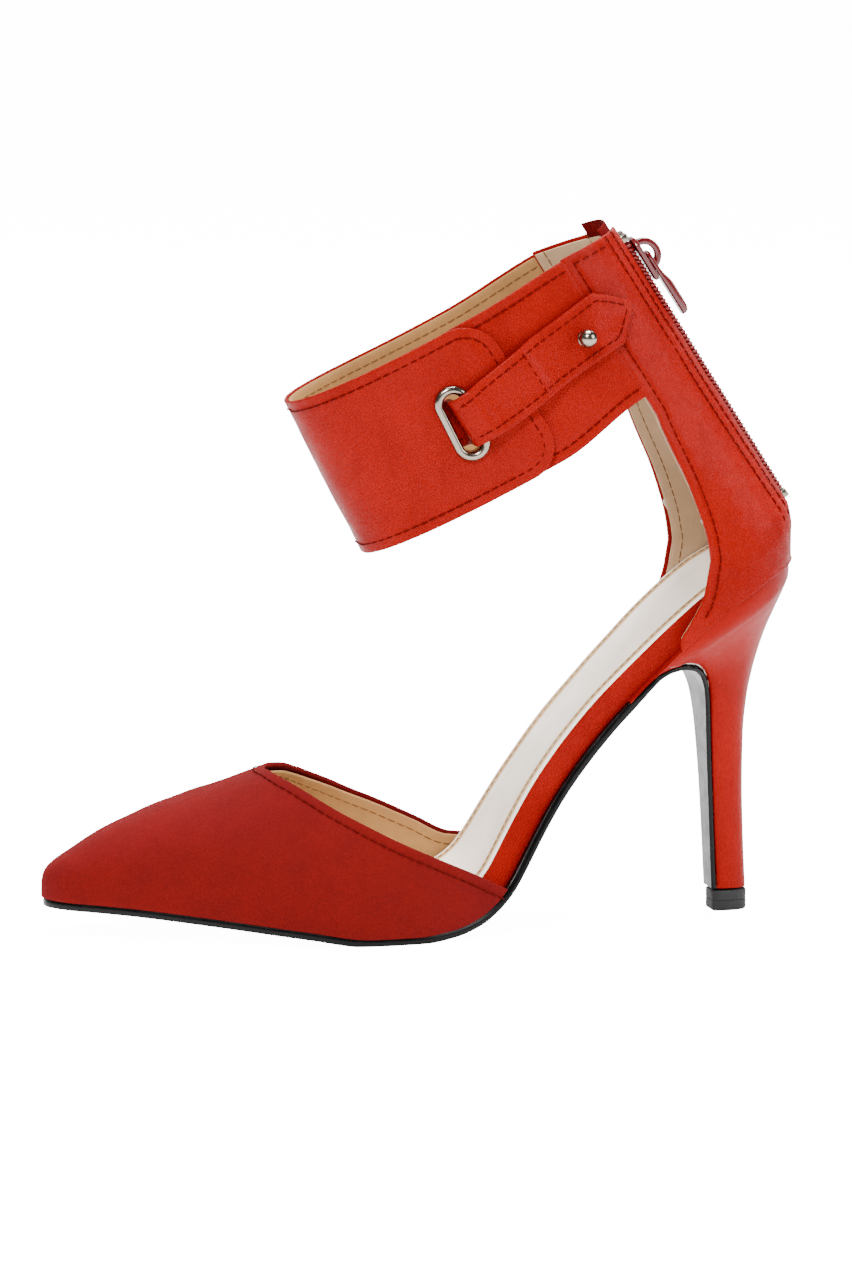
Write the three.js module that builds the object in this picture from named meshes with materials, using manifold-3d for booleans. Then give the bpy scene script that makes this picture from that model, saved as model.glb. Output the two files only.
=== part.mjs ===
// A left high heel pump with an ankle cuff, modelled in millimetres: toe towards -X, heel towards +X,
// outer (lateral) side towards -Y, +Z up. It stands on the ball of its sole and on the heel's top piece.
//
// Two master surfaces carry the upper. The forepart surface is a row of upright arches over the sole's
// outline. The leg surface is a tube that rises from the heel seat and leans forward to the ankle cuff.
// A place on it is given by g, the distance forward of the back line, and p, the height along the leg.
// Every leather, lining and stiffener is a layer of one of the two, between two depths below it.
import * as THREE from "three";
import { mergeVertices } from "three/addons/utils/BufferGeometryUtils.js";
import Module from "manifold-3d";

const wasm = await Module();
wasm.setup();

// ---------------------------------------------------------------- driving dimensions, millimetres
const TOE_X = -108; // foremost point of the toe
const HEEL_X = 110; // rearmost point of the heel seat
const SEAT_Z = 103; // height of the heel seat's back edge
const GAP = 0.3; // clearance between pieces that touch on the real shoe
const LEATHER = 1.2;
const STIFFENER = 0.6;
const LINING = 0.8;
const BAND_LEATHER = 1.1;
const SOLE = 2.4;
const BOARD = 2.0;
const CUSHION = 2.2;
const SOCK = 0.8;
const WRAP = 0.9; // leather wrapped round the footbed's edge
const CUFF_HEIGHT = 48.6;
const CUFF_LOW = 61.5; // height of the cuff's lower edge along the leg
const LEG_TILT = THREE.MathUtils.degToRad(27); // how far the leg leans forward
const CUFF_FRONT = 108.8; // from the heel seat's back edge forward to the cuff's front
const CUFF_HALF = 22.5; // half the cuff's width
const CUFF_SAG = 4; // dip of the band's edges on the inner side
const ZIP_TILT = THREE.MathUtils.degToRad(5.5); // further lean of the zip line
const ZIP_LOW = 15; // the straight zip's ends, measured up along the leg
const ZIP_HIGH = 106;
const HEEL_LIFT = 6; // thickness of the heel's top piece

// Depths below a master surface, inner face first.
const OUTER_LAYER = [-LEATHER, 0];
const STIFF_LAYER = [-LEATHER - GAP - STIFFENER, -LEATHER - GAP];
const LINING_LAYER = [STIFF_LAYER[0] - GAP - LINING, STIFF_LAYER[0] - GAP];
const UPPER_STACK = -LINING_LAYER[0];

// ---------------------------------------------------------------- curves
/** A smooth function through [x, value] knots, monotone between them and level beyond both ends. */
function through(knots) {
  const n = knots.length;
  const slope = knots.slice(1).map(([x, y], i) => (y - knots[i][1]) / (x - knots[i][0]));
  const tangent = knots.map((_, i) => {
    if (i === 0) return slope[0];
    if (i === n - 1) return slope[n - 2];
    const [a, b] = [slope[i - 1], slope[i]];
    return a * b <= 0 ? 0 : (2 * a * b) / (a + b);
  });
  return (x) => {
    if (x <= knots[0][0]) return knots[0][1];
    if (x >= knots[n - 1][0]) return knots[n - 1][1];
    const i = knots.findIndex(([kx]) => kx > x) - 1;
    const [x0, y0] = knots[i];
    const [x1, y1] = knots[i + 1];
    const h = x1 - x0;
    const t = (x - x0) / h;
    const s = 1 - t;
    return (
      y0 * s * s * (1 + 2 * t) +
      y1 * t * t * (1 + 2 * s) +
      h * t * s * (tangent[i] * s - tangent[i + 1] * t)
    );
  };
}

const { clamp, lerp, smoothstep } = THREE.MathUtils;
const range = (n) => Array.from({ length: n + 1 }, (_, i) => i / n);
const denseStart = (t) => 1 - Math.cos((Math.PI / 2) * t);
const denseEnd = (t) => Math.sin((Math.PI / 2) * t);

/** Where a rising function crosses zero between two arguments. */
function crossing(rise, low, high) {
  for (let k = 0; k < 40; k++) {
    const middle = (low + high) / 2;
    if (rise(middle) < 0) low = middle;
    else high = middle;
  }
  return (low + high) / 2;
}

// ---------------------------------------------------------------- sheets and solids
/** A sheet is { points, triangles, normals }: an open surface whose coincident points are merged. */
function sheetOf(points, triangles) {
  const keys = new Map();
  const merged = [];
  const index = points.map((point) => {
    const key = point.toArray().map((v) => Math.round(v * 500)).join();
    if (!keys.has(key)) {
      keys.set(key, merged.length);
      merged.push(point);
    }
    return keys.get(key);
  });
  const faces = triangles
    .map((corners) => corners.map((c) => index[c]))
    .filter(([a, b, c]) => a !== b && b !== c && a !== c);
  const normals = merged.map(() => new THREE.Vector3());
  for (const [a, b, c] of faces) {
    const ab = merged[b].clone().sub(merged[a]);
    const normal = ab.cross(merged[c].clone().sub(merged[a]));
    for (const corner of [a, b, c]) normals[corner].add(normal);
  }
  normals.forEach((normal) => normal.normalize());
  return { points: merged, triangles: faces, normals };
}

/** A grid of points at(i, j), with both counts given, as a sheet. Flip turns it to face the other way. */
function gridSheet(columns, rows, at, flip = false) {
  const points = columns.flatMap((u) => rows.map((v) => at(u, v)));
  const triangles = [];
  for (let i = 0; i + 1 < columns.length; i++)
    for (let j = 0; j + 1 < rows.length; j++) {
      const a = i * rows.length + j;
      const b = a + rows.length;
      triangles.push(
        ...(flip
          ? [[a, a + 1, b], [b, a + 1, b + 1]]
          : [[a, b, a + 1], [b, b + 1, a + 1]]),
      );
    }
  return sheetOf(points, triangles);
}

/** The closed solid between two depths of a sheet. A depth is a number or a function of the point. */
function layer(sheet, [inner, outer]) {
  const count = sheet.points.length;
  const depthAt = (depth, point) => (typeof depth === "function" ? depth(point) : depth);
  const face = (depth) =>
    sheet.points.map((p, i) => p.clone().addScaledVector(sheet.normals[i], depthAt(depth, p)));
  const edges = new Map();
  for (const t of sheet.triangles)
    for (let k = 0; k < 3; k++) edges.set(t[k] + "," + t[(k + 1) % 3], [t[k], t[(k + 1) % 3]]);
  const rim = [...edges.values()].filter(([a, b]) => !edges.has(b + "," + a));
  return solidGeometry(
    [...face(outer), ...face(inner)],
    [
      ...sheet.triangles,
      ...sheet.triangles.map(([a, b, c]) => [a + count, c + count, b + count]),
      ...rim.flatMap(([a, b]) => [[a, a + count, b + count], [a, b + count, b]]),
    ],
  );
}

function solidGeometry(points, triangles) {
  const geometry = new THREE.BufferGeometry();
  geometry.setAttribute(
    "position",
    new THREE.Float32BufferAttribute(points.flatMap((p) => p.toArray()), 3),
  );
  geometry.setIndex(triangles.flat());
  return geometry;
}

/** A closed solid through rings of equal length, with flat ends. */
function loft(rings) {
  const n = rings[0].length;
  const last = (rings.length - 1) * n;
  const triangles = [];
  for (let k = 0; k + 1 < rings.length; k++)
    for (let j = 0; j < n; j++) {
      const a = k * n + j;
      const b = k * n + ((j + 1) % n);
      triangles.push([a, b, a + n], [b, b + n, a + n]);
    }
  for (let j = 1; j + 1 < n; j++) triangles.push([0, j + 1, j], [last, last + j, last + j + 1]);
  return solidGeometry(rings.flat(), triangles);
}

function toManifold(geometry) {
  const bare = new THREE.BufferGeometry();
  bare.setAttribute("position", geometry.getAttribute("position"));
  bare.setIndex(geometry.getIndex());
  const merged = mergeVertices(bare, 1e-4);
  return new wasm.Manifold(
    new wasm.Mesh({
      numProp: 3,
      vertProperties: new Float32Array(merged.attributes.position.array),
      triVerts: new Uint32Array(merged.index.array),
    }),
  );
}

/** The geometry of a solid's largest body, which leaves out slivers a cut may shed. */
function fromManifold(solid) {
  const largest = solid.decompose().reduce((a, b) => (a.volume() > b.volume() ? a : b));
  const mesh = largest.getMesh();
  const geometry = new THREE.BufferGeometry();
  geometry.setAttribute("position", new THREE.BufferAttribute(mesh.vertProperties, 3));
  geometry.setIndex(new THREE.BufferAttribute(mesh.triVerts, 1));
  return geometry;
}

const cut = (body, ...tools) =>
  fromManifold(tools.reduce((solid, tool) => solid.subtract(toManifold(tool)), toManifold(body)));
const weld = (first, ...others) =>
  fromManifold(others.reduce((solid, other) => solid.add(toManifold(other)), toManifold(first)));

/** A copy of a geometry moved by a matrix. */
const moved = (geometry, matrix) => geometry.clone().applyMatrix4(matrix);
/** A box between two corners. */
function boxBetween(low, high) {
  const size = high.map((v, i) => v - low[i]);
  return new THREE.BoxGeometry(...size).translate(...low.map((v, i) => v + size[i] / 2));
}
/** A round bar along +Z from one height to another. */
const bar = (radius, low, high, sides = 16) =>
  new THREE.CylinderGeometry(radius, radius, high - low, sides)
    .rotateX(Math.PI / 2)
    .translate(0, 0, (low + high) / 2);

// ---------------------------------------------------------------- the sole's line and outline
// The seat line is the sole's upper face from the toe, over the ball and up the arch to the heel seat.
const seatHeight = through([
  [TOE_X, 10.4], [-88, 9.4], [-64, 7.2], [-38, 4.2], [-22, 2.2], [-8, 2.2], [3, 3.3], [11, 5.6],
  [17, 9.4], [21.5, 14], [25, 19.4], [30, 28], [36, 37.6], [44, 48.6], [52, 58], [60, 66.4], [68, 74.3],
  [76, 81.9], [84, 88.7], [92, 94.5], [100, 99.2], [106, 101.6], [HEEL_X, SEAT_Z],
]);
const seatPoint = (x, y = 0) => new THREE.Vector3(x, y, seatHeight(x));
/** The seat line's upward normal. */
const seatNormal = (x) =>
  new THREE.Vector3(seatHeight(x - 0.5) - seatHeight(x + 0.5), 0, 1).normalize();

// Half width and middle of the upper at the seat line.
const upperHalf = through([
  [TOE_X, 8], [-100, 10.2], [-90, 14.4], [-75, 20.6], [-60, 26.6], [-45, 32.2], [-30, 36], [-20, 36.8],
  [-8, 35.6], [4, 32], [16, 27], [28, 22.7], [40, 20.8], [52, 20.8], [64, 22.2], [78, 24], [90, 24.6],
]);
const upperMiddle = through([
  [TOE_X, 7], [-80, 5], [-50, 2], [-20, -0.6], [10, -1.5], [40, -1], [75, 0],
]);
const TOE_ROUND = 9; // how far the toe's rounding reaches back
const HEEL_ROUND = 24; // how far the heel's rounding reaches forward
const HEEL_POWER = 2.3;

/** A quarter turn of a rounded end: 0 at its tip, 1 where the rounding starts. */
const roundEnd = (share, power) => Math.pow(1 - clamp(1 - share, 0, 1) ** power, 1 / power);

/** Half width of an outline that lies inset inside the upper's, rounded at both ends. */
function outlineHalf(x, inset) {
  const toe = roundEnd((x - TOE_X - inset) / TOE_ROUND, 2);
  const heel = roundEnd((HEEL_X - inset - x) / (HEEL_ROUND - inset), HEEL_POWER);
  return Math.max(upperHalf(x) - inset, 0) * toe * heel;
}

/** Stations x between two ends, evenly along the seat line when ease is the identity. */
function stations(from, to, count, ease = (t) => t) {
  const lengths = [0];
  const steps = Math.ceil(to - from);
  for (let k = 1; k <= steps; k++) {
    const [a, b] = [lerp(from, to, (k - 1) / steps), lerp(from, to, k / steps)];
    lengths.push(lengths[k - 1] + seatPoint(a).distanceTo(seatPoint(b)));
  }
  return range(count).map((t) => {
    const target = ease(t) * lengths[steps];
    const k = clamp(lengths.findIndex((l) => l >= target), 1, steps);
    const share = (target - lengths[k - 1]) / (lengths[k] - lengths[k - 1]);
    return lerp(from, to, (k - 1 + share) / steps);
  });
}

/** A sheet over the seat line at the stations, half(x) wide each side of the outline's middle. */
const bedSheet = (xs, half, across = 2) =>
  gridSheet(xs, range(across), (x, v) => seatPoint(x, upperMiddle(x) + half(x) * (2 * v - 1)));

/** A frame on the seat line: z along its normal, y across. */
function seatFrame(x, y) {
  const up = seatNormal(x);
  const across = new THREE.Vector3(0, 1, 0);
  return new THREE.Matrix4()
    .makeBasis(across.clone().cross(up), across, up)
    .setPosition(seatPoint(x, y));
}

// ---------------------------------------------------------------- outsole with its heel breast flap
const SOLE_INSET = 0.8;
const FLAP_THICKNESS = 1.3;
const FLAP_START_X = 60; // behind here the sole leaves the seat line to run down the heel's breast
const FLAP_POINTS = [
  // x, z and half width of the flap's rear face
  [63.6, 69.6, 19.5], [67, 71.9, 18.6], [71, 73.4, 17.6], [75, 74, 16.4], [78.6, 73.4, 14.9],
  [81.4, 71.6, 13], [83.2, 68.6, 11.2], [84.4, 64.5, 9.4], [85.2, 58, 7.6], [85.9, 48, 6],
  [86.6, 36, 5.1], [87.3, 22, 4.6], [88, HEEL_LIFT + 0.9, 4.3],
];

function soleSheet() {
  const fore = stations(TOE_X + SOLE_INSET, FLAP_START_X, 40, (t) => lerp(t, t * t, 0.35));
  const rows = [
    ...fore.map((x) => ({
      point: seatPoint(x),
      half: outlineHalf(x, SOLE_INSET + 1.2 * smoothstep(x, 0, 40)),
    })),
    ...FLAP_POINTS.map(([x, z, half]) => ({ point: new THREE.Vector3(x, 0, z), half })),
  ];
  return gridSheet(rows, range(4), ({ point, half }, v) =>
    point.clone().setY(upperMiddle(point.x) + half * (2 * v - 1)),
  );
}

function outsole() {
  const depth = (p) => -lerp(SOLE, FLAP_THICKNESS, smoothstep(p.x, 56, 72));
  const blank = layer(soleSheet(), [depth, 0]);
  return cut(blank, boxBetween([-60, -60, -5], [40, 60, 0]));
}

// ---------------------------------------------------------------- footbed
const FILL_LAYER = [GAP, GAP + 1.8];
const BOARD_LAYER = [FILL_LAYER[1] + GAP, FILL_LAYER[1] + GAP + BOARD];
const CUSHION_LAYER = [BOARD_LAYER[1] + GAP, BOARD_LAYER[1] + GAP + CUSHION];
const SOCK_LAYER = [CUSHION_LAYER[1] + GAP, CUSHION_LAYER[1] + GAP + SOCK];
const BED_INSET = UPPER_STACK + 0.8;
const BED_TOE_X = -96;
const BED_HEEL_X = HEEL_X - BED_INSET;
const WRAP_FRONT_X = 2; // the wrapped edge starts inside the vamp
const bedSlack = through([[-96, 2.6], [-80, 1.6], [-40, 0.9], [0, 0.6], [20, 0]]);
const bedHalf = (x) => outlineHalf(x, BED_INSET) - bedSlack(x);
const coreHalf = (x) => Math.max(outlineHalf(x, BED_INSET + WRAP + GAP) - bedSlack(x), 0);
const bedStations = (inset) =>
  stations(BED_TOE_X, BED_HEEL_X - inset, 44, (t) => lerp(t, denseEnd(t), 0.45));
const core = (depths) => layer(bedSheet(bedStations(WRAP + GAP), coreHalf, 4), depths);
const sock = () => layer(bedSheet(bedStations(0), bedHalf, 4), SOCK_LAYER);

/** The leather round the footbed's edge, from the waist round the heel and back. */
function wrap() {
  const xs = stations(WRAP_FRONT_X, BED_HEEL_X, 24, (t) => lerp(t, denseEnd(t), 0.6));
  const way = [
    ...xs.map((x) => [x, -1]),
    ...xs.slice(0, -1).reverse().map((x) => [x, 1]),
  ];
  const [low, high] = [FILL_LAYER[0], CUSHION_LAYER[1]];
  const sheet = gridSheet(way, [low, (low + high) / 2, high], ([x, side], h) =>
    seatPoint(x, upperMiddle(x) + side * bedHalf(x)).addScaledVector(seatNormal(x), h),
  );
  return layer(sheet, [-WRAP, 0]);
}

const SHANK = { from: -2, to: 84, half: 5, thickness: 1.1 };
function shankSheet(clearance) {
  const xs = stations(SHANK.from - clearance, SHANK.to + clearance, 22);
  return bedSheet(xs, () => SHANK.half + clearance);
}
const shank = () => layer(shankSheet(0), [FILL_LAYER[1] - SHANK.thickness, FILL_LAYER[1]]);
const shankSlot = () =>
  layer(shankSheet(GAP), [FILL_LAYER[1] - SHANK.thickness - GAP, FILL_LAYER[1] + 1]);

// ---------------------------------------------------------------- heel
const COVER = 0.9;
const HEEL_RINGS = [
  // front x and z, back x and z, half width, where the rounded back starts
  [88.6, HEEL_LIFT + 0.6, 97.8, HEEL_LIFT + 0.6, 4.35, 0.3],
  [87.7, 22, 97.1, 22, 4.65, 0.3],
  [86.95, 37, 96.7, 37.5, 5.15, 0.3],
  [86.3, 49, 96.8, 50.5, 6.1, 0.3],
  [85.6, 58.6, 97.7, 62, 7.8, 0.3],
  [84.8, 65, 99.1, 70, 9.8, 0.32],
  [83.5, 69.4, 101, 77.5, 12.3, 0.34],
  [81.5, 72.3, 103.3, 84.6, 15.2, 0.36],
  [78.7, 74.1, 105.9, 91, 18.2, 0.38],
  [75, 74.7, 108, 96, 20.8, 0.41],
  [70.5, 74, 109.2, 100, 22.7, 0.44],
  [66.5, 73, HEEL_X - SOLE_INSET, SEAT_Z + 4, 23.8, 0.46],
];

/** Rings of the heel's form from its tip up, drawn in on the back and sides and out at the front. */
function heelRings(inset, forward, underTip) {
  const turn = range(6).slice(1);
  return HEEL_RINGS.map(([fx, fz, bx, bz, half, start], k) => {
    const front = new THREE.Vector3(fx, 0, fz);
    const back = new THREE.Vector3(bx, 0, bz);
    const along = back.clone().sub(front).normalize();
    back.addScaledVector(along, -inset);
    const lift = k === 0 ? -underTip : 0;
    const at = (share, y) =>
      front
        .clone()
        .lerp(back, share)
        .addScaledVector(along, share === 0 ? -forward : 0)
        .add(new THREE.Vector3(0, y, lift));
    const wide = half - inset;
    const sideways = [
      [0, 0.9], [start / 2, 0.97],
      ...[0, ...turn].map((t) => {
        const angle = (t * Math.PI) / 2;
        const power = 2 / HEEL_POWER;
        return [start + (1 - start) * Math.sin(angle) ** power, Math.cos(angle) ** power];
      }),
    ];
    sideways[sideways.length - 1][1] = 0;
    return [
      ...sideways.map(([share, y]) => at(share, -y * wide)),
      ...sideways.slice(0, -1).reverse().map(([share, y]) => at(share, y * wide)),
    ];
  });
}

/** Everything above the heel seat, less a clearance. */
function aboveSeat(clearance) {
  const sheet = bedSheet(stations(50, HEEL_X + 21, 31), () => 40, 1);
  return layer(sheet, [-clearance, 40]);
}

const coverSolid = () =>
  cut(loft(heelRings(0, 0, 0)), loft(heelRings(COVER, 4, 8)), aboveSeat(0));
const blockBlank = () =>
  cut(loft(heelRings(COVER + GAP, -0.1, 0)), aboveSeat(0));

// Fasteners driven through the board into the heel block: name, x, y, shaft radius, depth, head radius.
const FASTENERS = [
  ["heel_screw", 90, 0, 2, 13, 3.6],
  ["heel_nail_1", 98, -7, 0.9, 6, 1.8],
  ["heel_nail_2", 98, 7, 0.9, 6, 1.8],
  ["heel_nail_3", 81, -9, 0.9, 8, 1.8],
  ["heel_nail_4", 81, 9, 0.9, 8, 1.8],
];
const HEAD = 0.7;
function fastener([, x, y, radius, depth, head], clearance) {
  const top = BOARD_LAYER[1] + (clearance ? 1 : -0.1);
  const seat = BOARD_LAYER[1] - 0.1 - HEAD - clearance;
  return moved(
    weld(
      bar(radius + clearance, -depth - clearance, seat + 0.3, 10),
      bar(head + clearance, seat, top, 12),
    ),
    seatFrame(x, y),
  );
}
const fastenerHoles = () => FASTENERS.map((each) => fastener(each, GAP));

const DOWEL = { radius: 2.3, low: HEEL_LIFT + 0.9, high: 62 }; // a tube that takes the top piece's pin
const PIN = { radius: 1.2, low: 2.5, high: HEEL_LIFT + 12 };
const stemX = (z) => lerp(93.2, 91.4, (z - HEEL_LIFT) / 60);
function stemBar({ radius, low, high }, clearance) {
  const shape = bar(radius + clearance, low - clearance, high + clearance, 12);
  const lean = (stemX(high) - stemX(low)) / (high - low);
  const shear = new THREE.Matrix4().makeShear(0, 0, 0, 0, 0, 0);
  shear.elements[8] = lean;
  shear.elements[12] = stemX(low) - lean * low;
  return moved(shape, shear);
}

/** The top piece: the heel tip's outline, a little wider, as a straight slab. */
function topPiece() {
  const [fx, , bx, , half, start] = HEEL_RINGS[0];
  const outline = (z) => {
    const turn = range(6).map((t) => (t * Math.PI) / 2);
    const power = 2 / HEEL_POWER;
    const side = [
      [0, 0.93],
      ...turn.map((a) => [start + (1 - start) * Math.sin(a) ** power, Math.cos(a) ** power]),
    ];
    side[side.length - 1][1] = 0;
    const at = ([share, y], sign) =>
      new THREE.Vector3(lerp(fx - 1.4, bx + 0.25, share), sign * y * (half + 0.2), z);
    return [
      ...side.map((s) => at(s, -1)),
      ...side.slice(0, -1).reverse().map((s) => at(s, 1)),
    ];
  };
  return cut(loft([outline(0), outline(HEEL_LIFT)]), stemBar(PIN, GAP));
}

// ---------------------------------------------------------------- forepart upper
const foreCrest = through([
  [TOE_X, 5], [-107, 7.6], [-104.6, 10.2], [-100, 13.2], [-92.5, 18.2], [-83.4, 23.2], [-74.3, 27.7],
  [-65.3, 31.8], [-56, 35.6], [-48.7, 38.9], [-44, 41.2], [-40, 43], [-20, 47.5], [0, 53], [28, 60],
]);
const forePower = through([[TOE_X, 2.6], [-80, 2.5], [-40, 2.15]]);

/** A point of the forepart surface: t runs from 0 at the outer feather edge to 1 at the inner. */
function forePoint(x, t) {
  const angle = Math.PI * t;
  const power = 2 / forePower(x);
  const reach = Math.abs(Math.cos(angle)) ** power * Math.sign(Math.cos(angle));
  const half = x <= TOE_X ? 0 : outlineHalf(x, 0);
  return new THREE.Vector3(
    x,
    upperMiddle(x) - half * (t === 0.5 ? 0 : reach),
    seatHeight(x) + GAP + foreCrest(x) * Math.sin(angle) ** power,
  );
}
// Height of the vamp's topline, outer and inner side.
const throatOuter = through([
  [-44.2, 46.2], [-38, 42.8], [-30, 37.8], [-21.7, 33.3], [-13.2, 28.9], [0.5, 22.5], [10.3, 17.9],
  [16, 14.9], [20, 12.9],
]);
const throatInner = through([
  [-44.2, 46.2], [-36, 45.4], [-32.9, 44.2], [-25, 40.6], [-14.1, 35.3], [-3.7, 30.6], [6.5, 25.7],
  [16, 21.4], [26, 21],
]);
/** Where the topline crosses the line of constant t. */
function throatX(t) {
  const throat = t < 0.5 ? throatOuter : throatInner;
  return crossing((x) => forePoint(x, t).z - throat(x), -46, 26);
}

function foreSheet(from, to, columns, rows, ease) {
  return gridSheet(range(columns), range(rows), (u, t) =>
    forePoint(lerp(from, to(t), ease(u)), t),
  );
}
const VAMP_ROWS = 18;
const vamp = () => layer(foreSheet(TOE_X, throatX, 18, VAMP_ROWS, denseStart), OUTER_LAYER);
const toePuff = () => layer(foreSheet(-103, () => -80, 5, VAMP_ROWS, (u) => u), STIFF_LAYER);
const vampLining = () =>
  layer(
    foreSheet(-100, (t) => throatX(t) - 0.4, 14, VAMP_ROWS, (u) => lerp(u, denseStart(u), 0.3)),
    LINING_LAYER,
  );

// ---------------------------------------------------------------- leg surface
const LEG_UP = new THREE.Vector3(-Math.sin(LEG_TILT), 0, Math.cos(LEG_TILT));
const LEG_FORWARD = new THREE.Vector3(-Math.cos(LEG_TILT), 0, -Math.sin(LEG_TILT));
const HEEL_CURVE = through([[-1, 0], [1, -0.3], [3, -1.3], [6.4, -3.1], [10, -4.9], [ZIP_LOW, -6.3]]);
/** How far the back line lies forward of the leg's own straight back, at height p. */
const backLine = (p) =>
  p < ZIP_LOW ? HEEL_CURVE(p) : HEEL_CURVE(ZIP_LOW) + (p - ZIP_LOW) * Math.tan(ZIP_TILT);
const legDepth = (p) => CUFF_FRONT - backLine(p);

/** Half the leg surface's width at g forward of its back line and height p. */
function legHalf(g, p) {
  const seatRound = HEEL_ROUND / Math.cos(LEG_TILT);
  const seat =
    (upperHalf(90) - 0.07 * Math.max(g - seatRound, 0)) * roundEnd(g / seatRound, HEEL_POWER);
  const middle = legDepth(p) / 2;
  const cuff = CUFF_HALF * roundEnd(1 - Math.abs(1 - g / middle), 2.2);
  return lerp(seat, cuff, smoothstep(p, 2, 62));
}

/** A point of the leg surface on the outer (-1) or inner (1) side. */
const legPoint = (g, p, side) =>
  new THREE.Vector3(HEEL_X, 0, SEAT_Z)
    .addScaledVector(LEG_FORWARD, backLine(p) + g)
    .addScaledVector(LEG_UP, p)
    .setY(side * legHalf(g, p));

/** The height p at which the leg surface stands on the seat line. */
const legFoot = (g) =>
  crossing((p) => {
    const point = legPoint(g, p, 1);
    return point.z - seatHeight(point.x) - GAP;
  }, -30, 12);

/** The g at which the leg surface is a given half width, near its back line. */
const backAt = (half, p) => crossing((g) => legHalf(g, p) - half, 0, 20);

/** A frame on the leg surface: x forward, y up along the leg, z outwards. */
function legFrame(g, p, side, depth = 0) {
  const here = legPoint(g, p, side);
  const forward = legPoint(g + 1, p, side).sub(legPoint(g - 1, p, side)).normalize();
  const up = legPoint(g, p + 1, side).sub(legPoint(g, p - 1, side));
  const out = forward.clone().cross(up).multiplyScalar(side).normalize();
  const rise = out.clone().cross(forward);
  return new THREE.Matrix4()
    .makeBasis(forward, rise, out)
    .setPosition(here.addScaledVector(out, depth));
}
const LATERAL = -1;
const MEDIAL = 1;

// ---------------------------------------------------------------- quarters, counter and linings
const ZIP_SLIT = 3.3; // half the opening that the zip shows in
const SEAM_G = 20.8; // where the cuff's bands meet the quarters
const quarterFront = through([
  [-6, 44.5], [-1.7, 43], [0.8, 39.5], [3.4, 36.9], [6, 34.8], [10.6, 33.2], [14.8, 31.2], [19.2, 29.2],
  [23.1, 27.7], [28, 26.3], [39, 23.9], [48, 22.7], [54, 21.8], [59, SEAM_G],
]);
const quarterTop = (g) => lerp(109.6, 113, g / SEAM_G);

/** A quarter's panel; its trims draw the back, front and top edges in from the outer leather's. */
function quarterSheet(side, { slit, seam, front = 0, top = 0, low = 0 }, columns = 10, rows = 26) {
  const foot = (g) => legFoot(g) + low;
  return gridSheet(
    range(columns),
    range(rows),
    (c, r) => {
      let edge = 30;
      let height = 0;
      const share = r ** 1.25;
      for (let k = 0; k < 30; k++) {
        height = lerp(foot(edge), quarterTop(edge) - top, share);
        edge = lerp(edge, quarterFront(height) - front, 0.6);
      }
      const back = lerp(seam, slit, smoothstep(height, ZIP_LOW - 4, ZIP_LOW - 1.5));
      const start = backAt(back, Math.max(height, 0));
      const g = lerp(start, edge, c * c);
      return legPoint(g, lerp(foot(g), quarterTop(g) - top, share), side);
    },
    side === LATERAL,
  );
}
const quarter = (side) =>
  layer(quarterSheet(side, { slit: ZIP_SLIT, seam: 0.2 }), OUTER_LAYER);
const quarterLining = (side) =>
  layer(quarterSheet(side, { slit: 5.4, seam: 3.2, front: 0.5, top: 0.4 }), LINING_LAYER);

const counterTop = through([[0, 11.5], [8, 12.5], [20, 30], [28, 26]]);
function heelCounter() {
  const sheet = gridSheet(
    range(24).map((t) => 2 * t - 1),
    range(8),
    (v, r) => {
      const g = 27 * v * v;
      return legPoint(g, lerp(legFoot(g) + 0.2, counterTop(g), r), v < 0 ? LATERAL : MEDIAL);
    },
  );
  return layer(sheet, STIFF_LAYER);
}

// ---------------------------------------------------------------- cuff
const CUFF_OUTER = [GAP, GAP + BAND_LEATHER]; // the front band lies over the surface
const CUFF_INNER = [-LINING, 0];
const UNDER_OUTER = [-BAND_LEATHER, 0]; // the outer side's rear band lies under it
const UNDER_INNER = [UNDER_OUTER[0] - GAP - LINING, UNDER_OUTER[0] - GAP];
const FLAP_END_G = 50.6;
const FLAP_ROUND = 10.5;
const UNDER_END_G = 60; // how far the rear band reaches in under the flap
/** How far the band sags on the inner side, where it is not drawn up by the strap. */
const cuffSag = (g, side) =>
  side === MEDIAL ? CUFF_SAG * Math.sin(Math.PI * clamp((CUFF_FRONT - g) / 110, 0, 1)) : 0;
const cuffLow = (g, side) => CUFF_LOW + 4 * smoothstep(52 - g, 0, 30) - cuffSag(g, side);
const cuffHigh = (g, side) => CUFF_LOW + CUFF_HEIGHT + smoothstep(52 - g, 0, 30) - cuffSag(g, side);

/** A point of the cuff: g is measured at the cuff's middle height and is stretched to fit elsewhere. */
const CUFF_DEPTH = legDepth(CUFF_LOW + CUFF_HEIGHT / 2);
const cuffPoint = (g, p, side) =>
  legPoint(g + (legDepth(p) - CUFF_DEPTH) * (g / CUFF_DEPTH) ** 3, p, side);

/** The front band, from the rounded flap on the outer side round the front to the inner seam. */
function cuffSheet(start, end, rounded, trim) {
  const near = [0, 0.06, 0.14, 0.26, 0.45, 0.7, 1].map((t) => start + FLAP_ROUND * t);
  const turn = range(9).map((t) => lerp(near[6], CUFF_DEPTH, denseEnd(t)));
  const outer = [...near.slice(0, -1), ...turn].map((g) => [g, LATERAL]);
  const inner = range(12).slice(1).map((t) => [lerp(CUFF_DEPTH, end, 1 - denseEnd(1 - t)), MEDIAL]);
  return gridSheet(
    [...outer, ...inner],
    range(6),
    ([g, side], r) => {
      let [low, high] = [cuffLow(g, side) + trim, cuffHigh(g, side) - trim];
      if (rounded && side === LATERAL && g < start + FLAP_ROUND) {
        const back = (start + FLAP_ROUND - g) / FLAP_ROUND;
        const drop = FLAP_ROUND * (1 - Math.sqrt(Math.max(1 - back * back, 0)));
        [low, high] = [low + drop, high - drop];
      }
      return cuffPoint(g, lerp(low, high, r), side);
    },
    true,
  );
}
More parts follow.
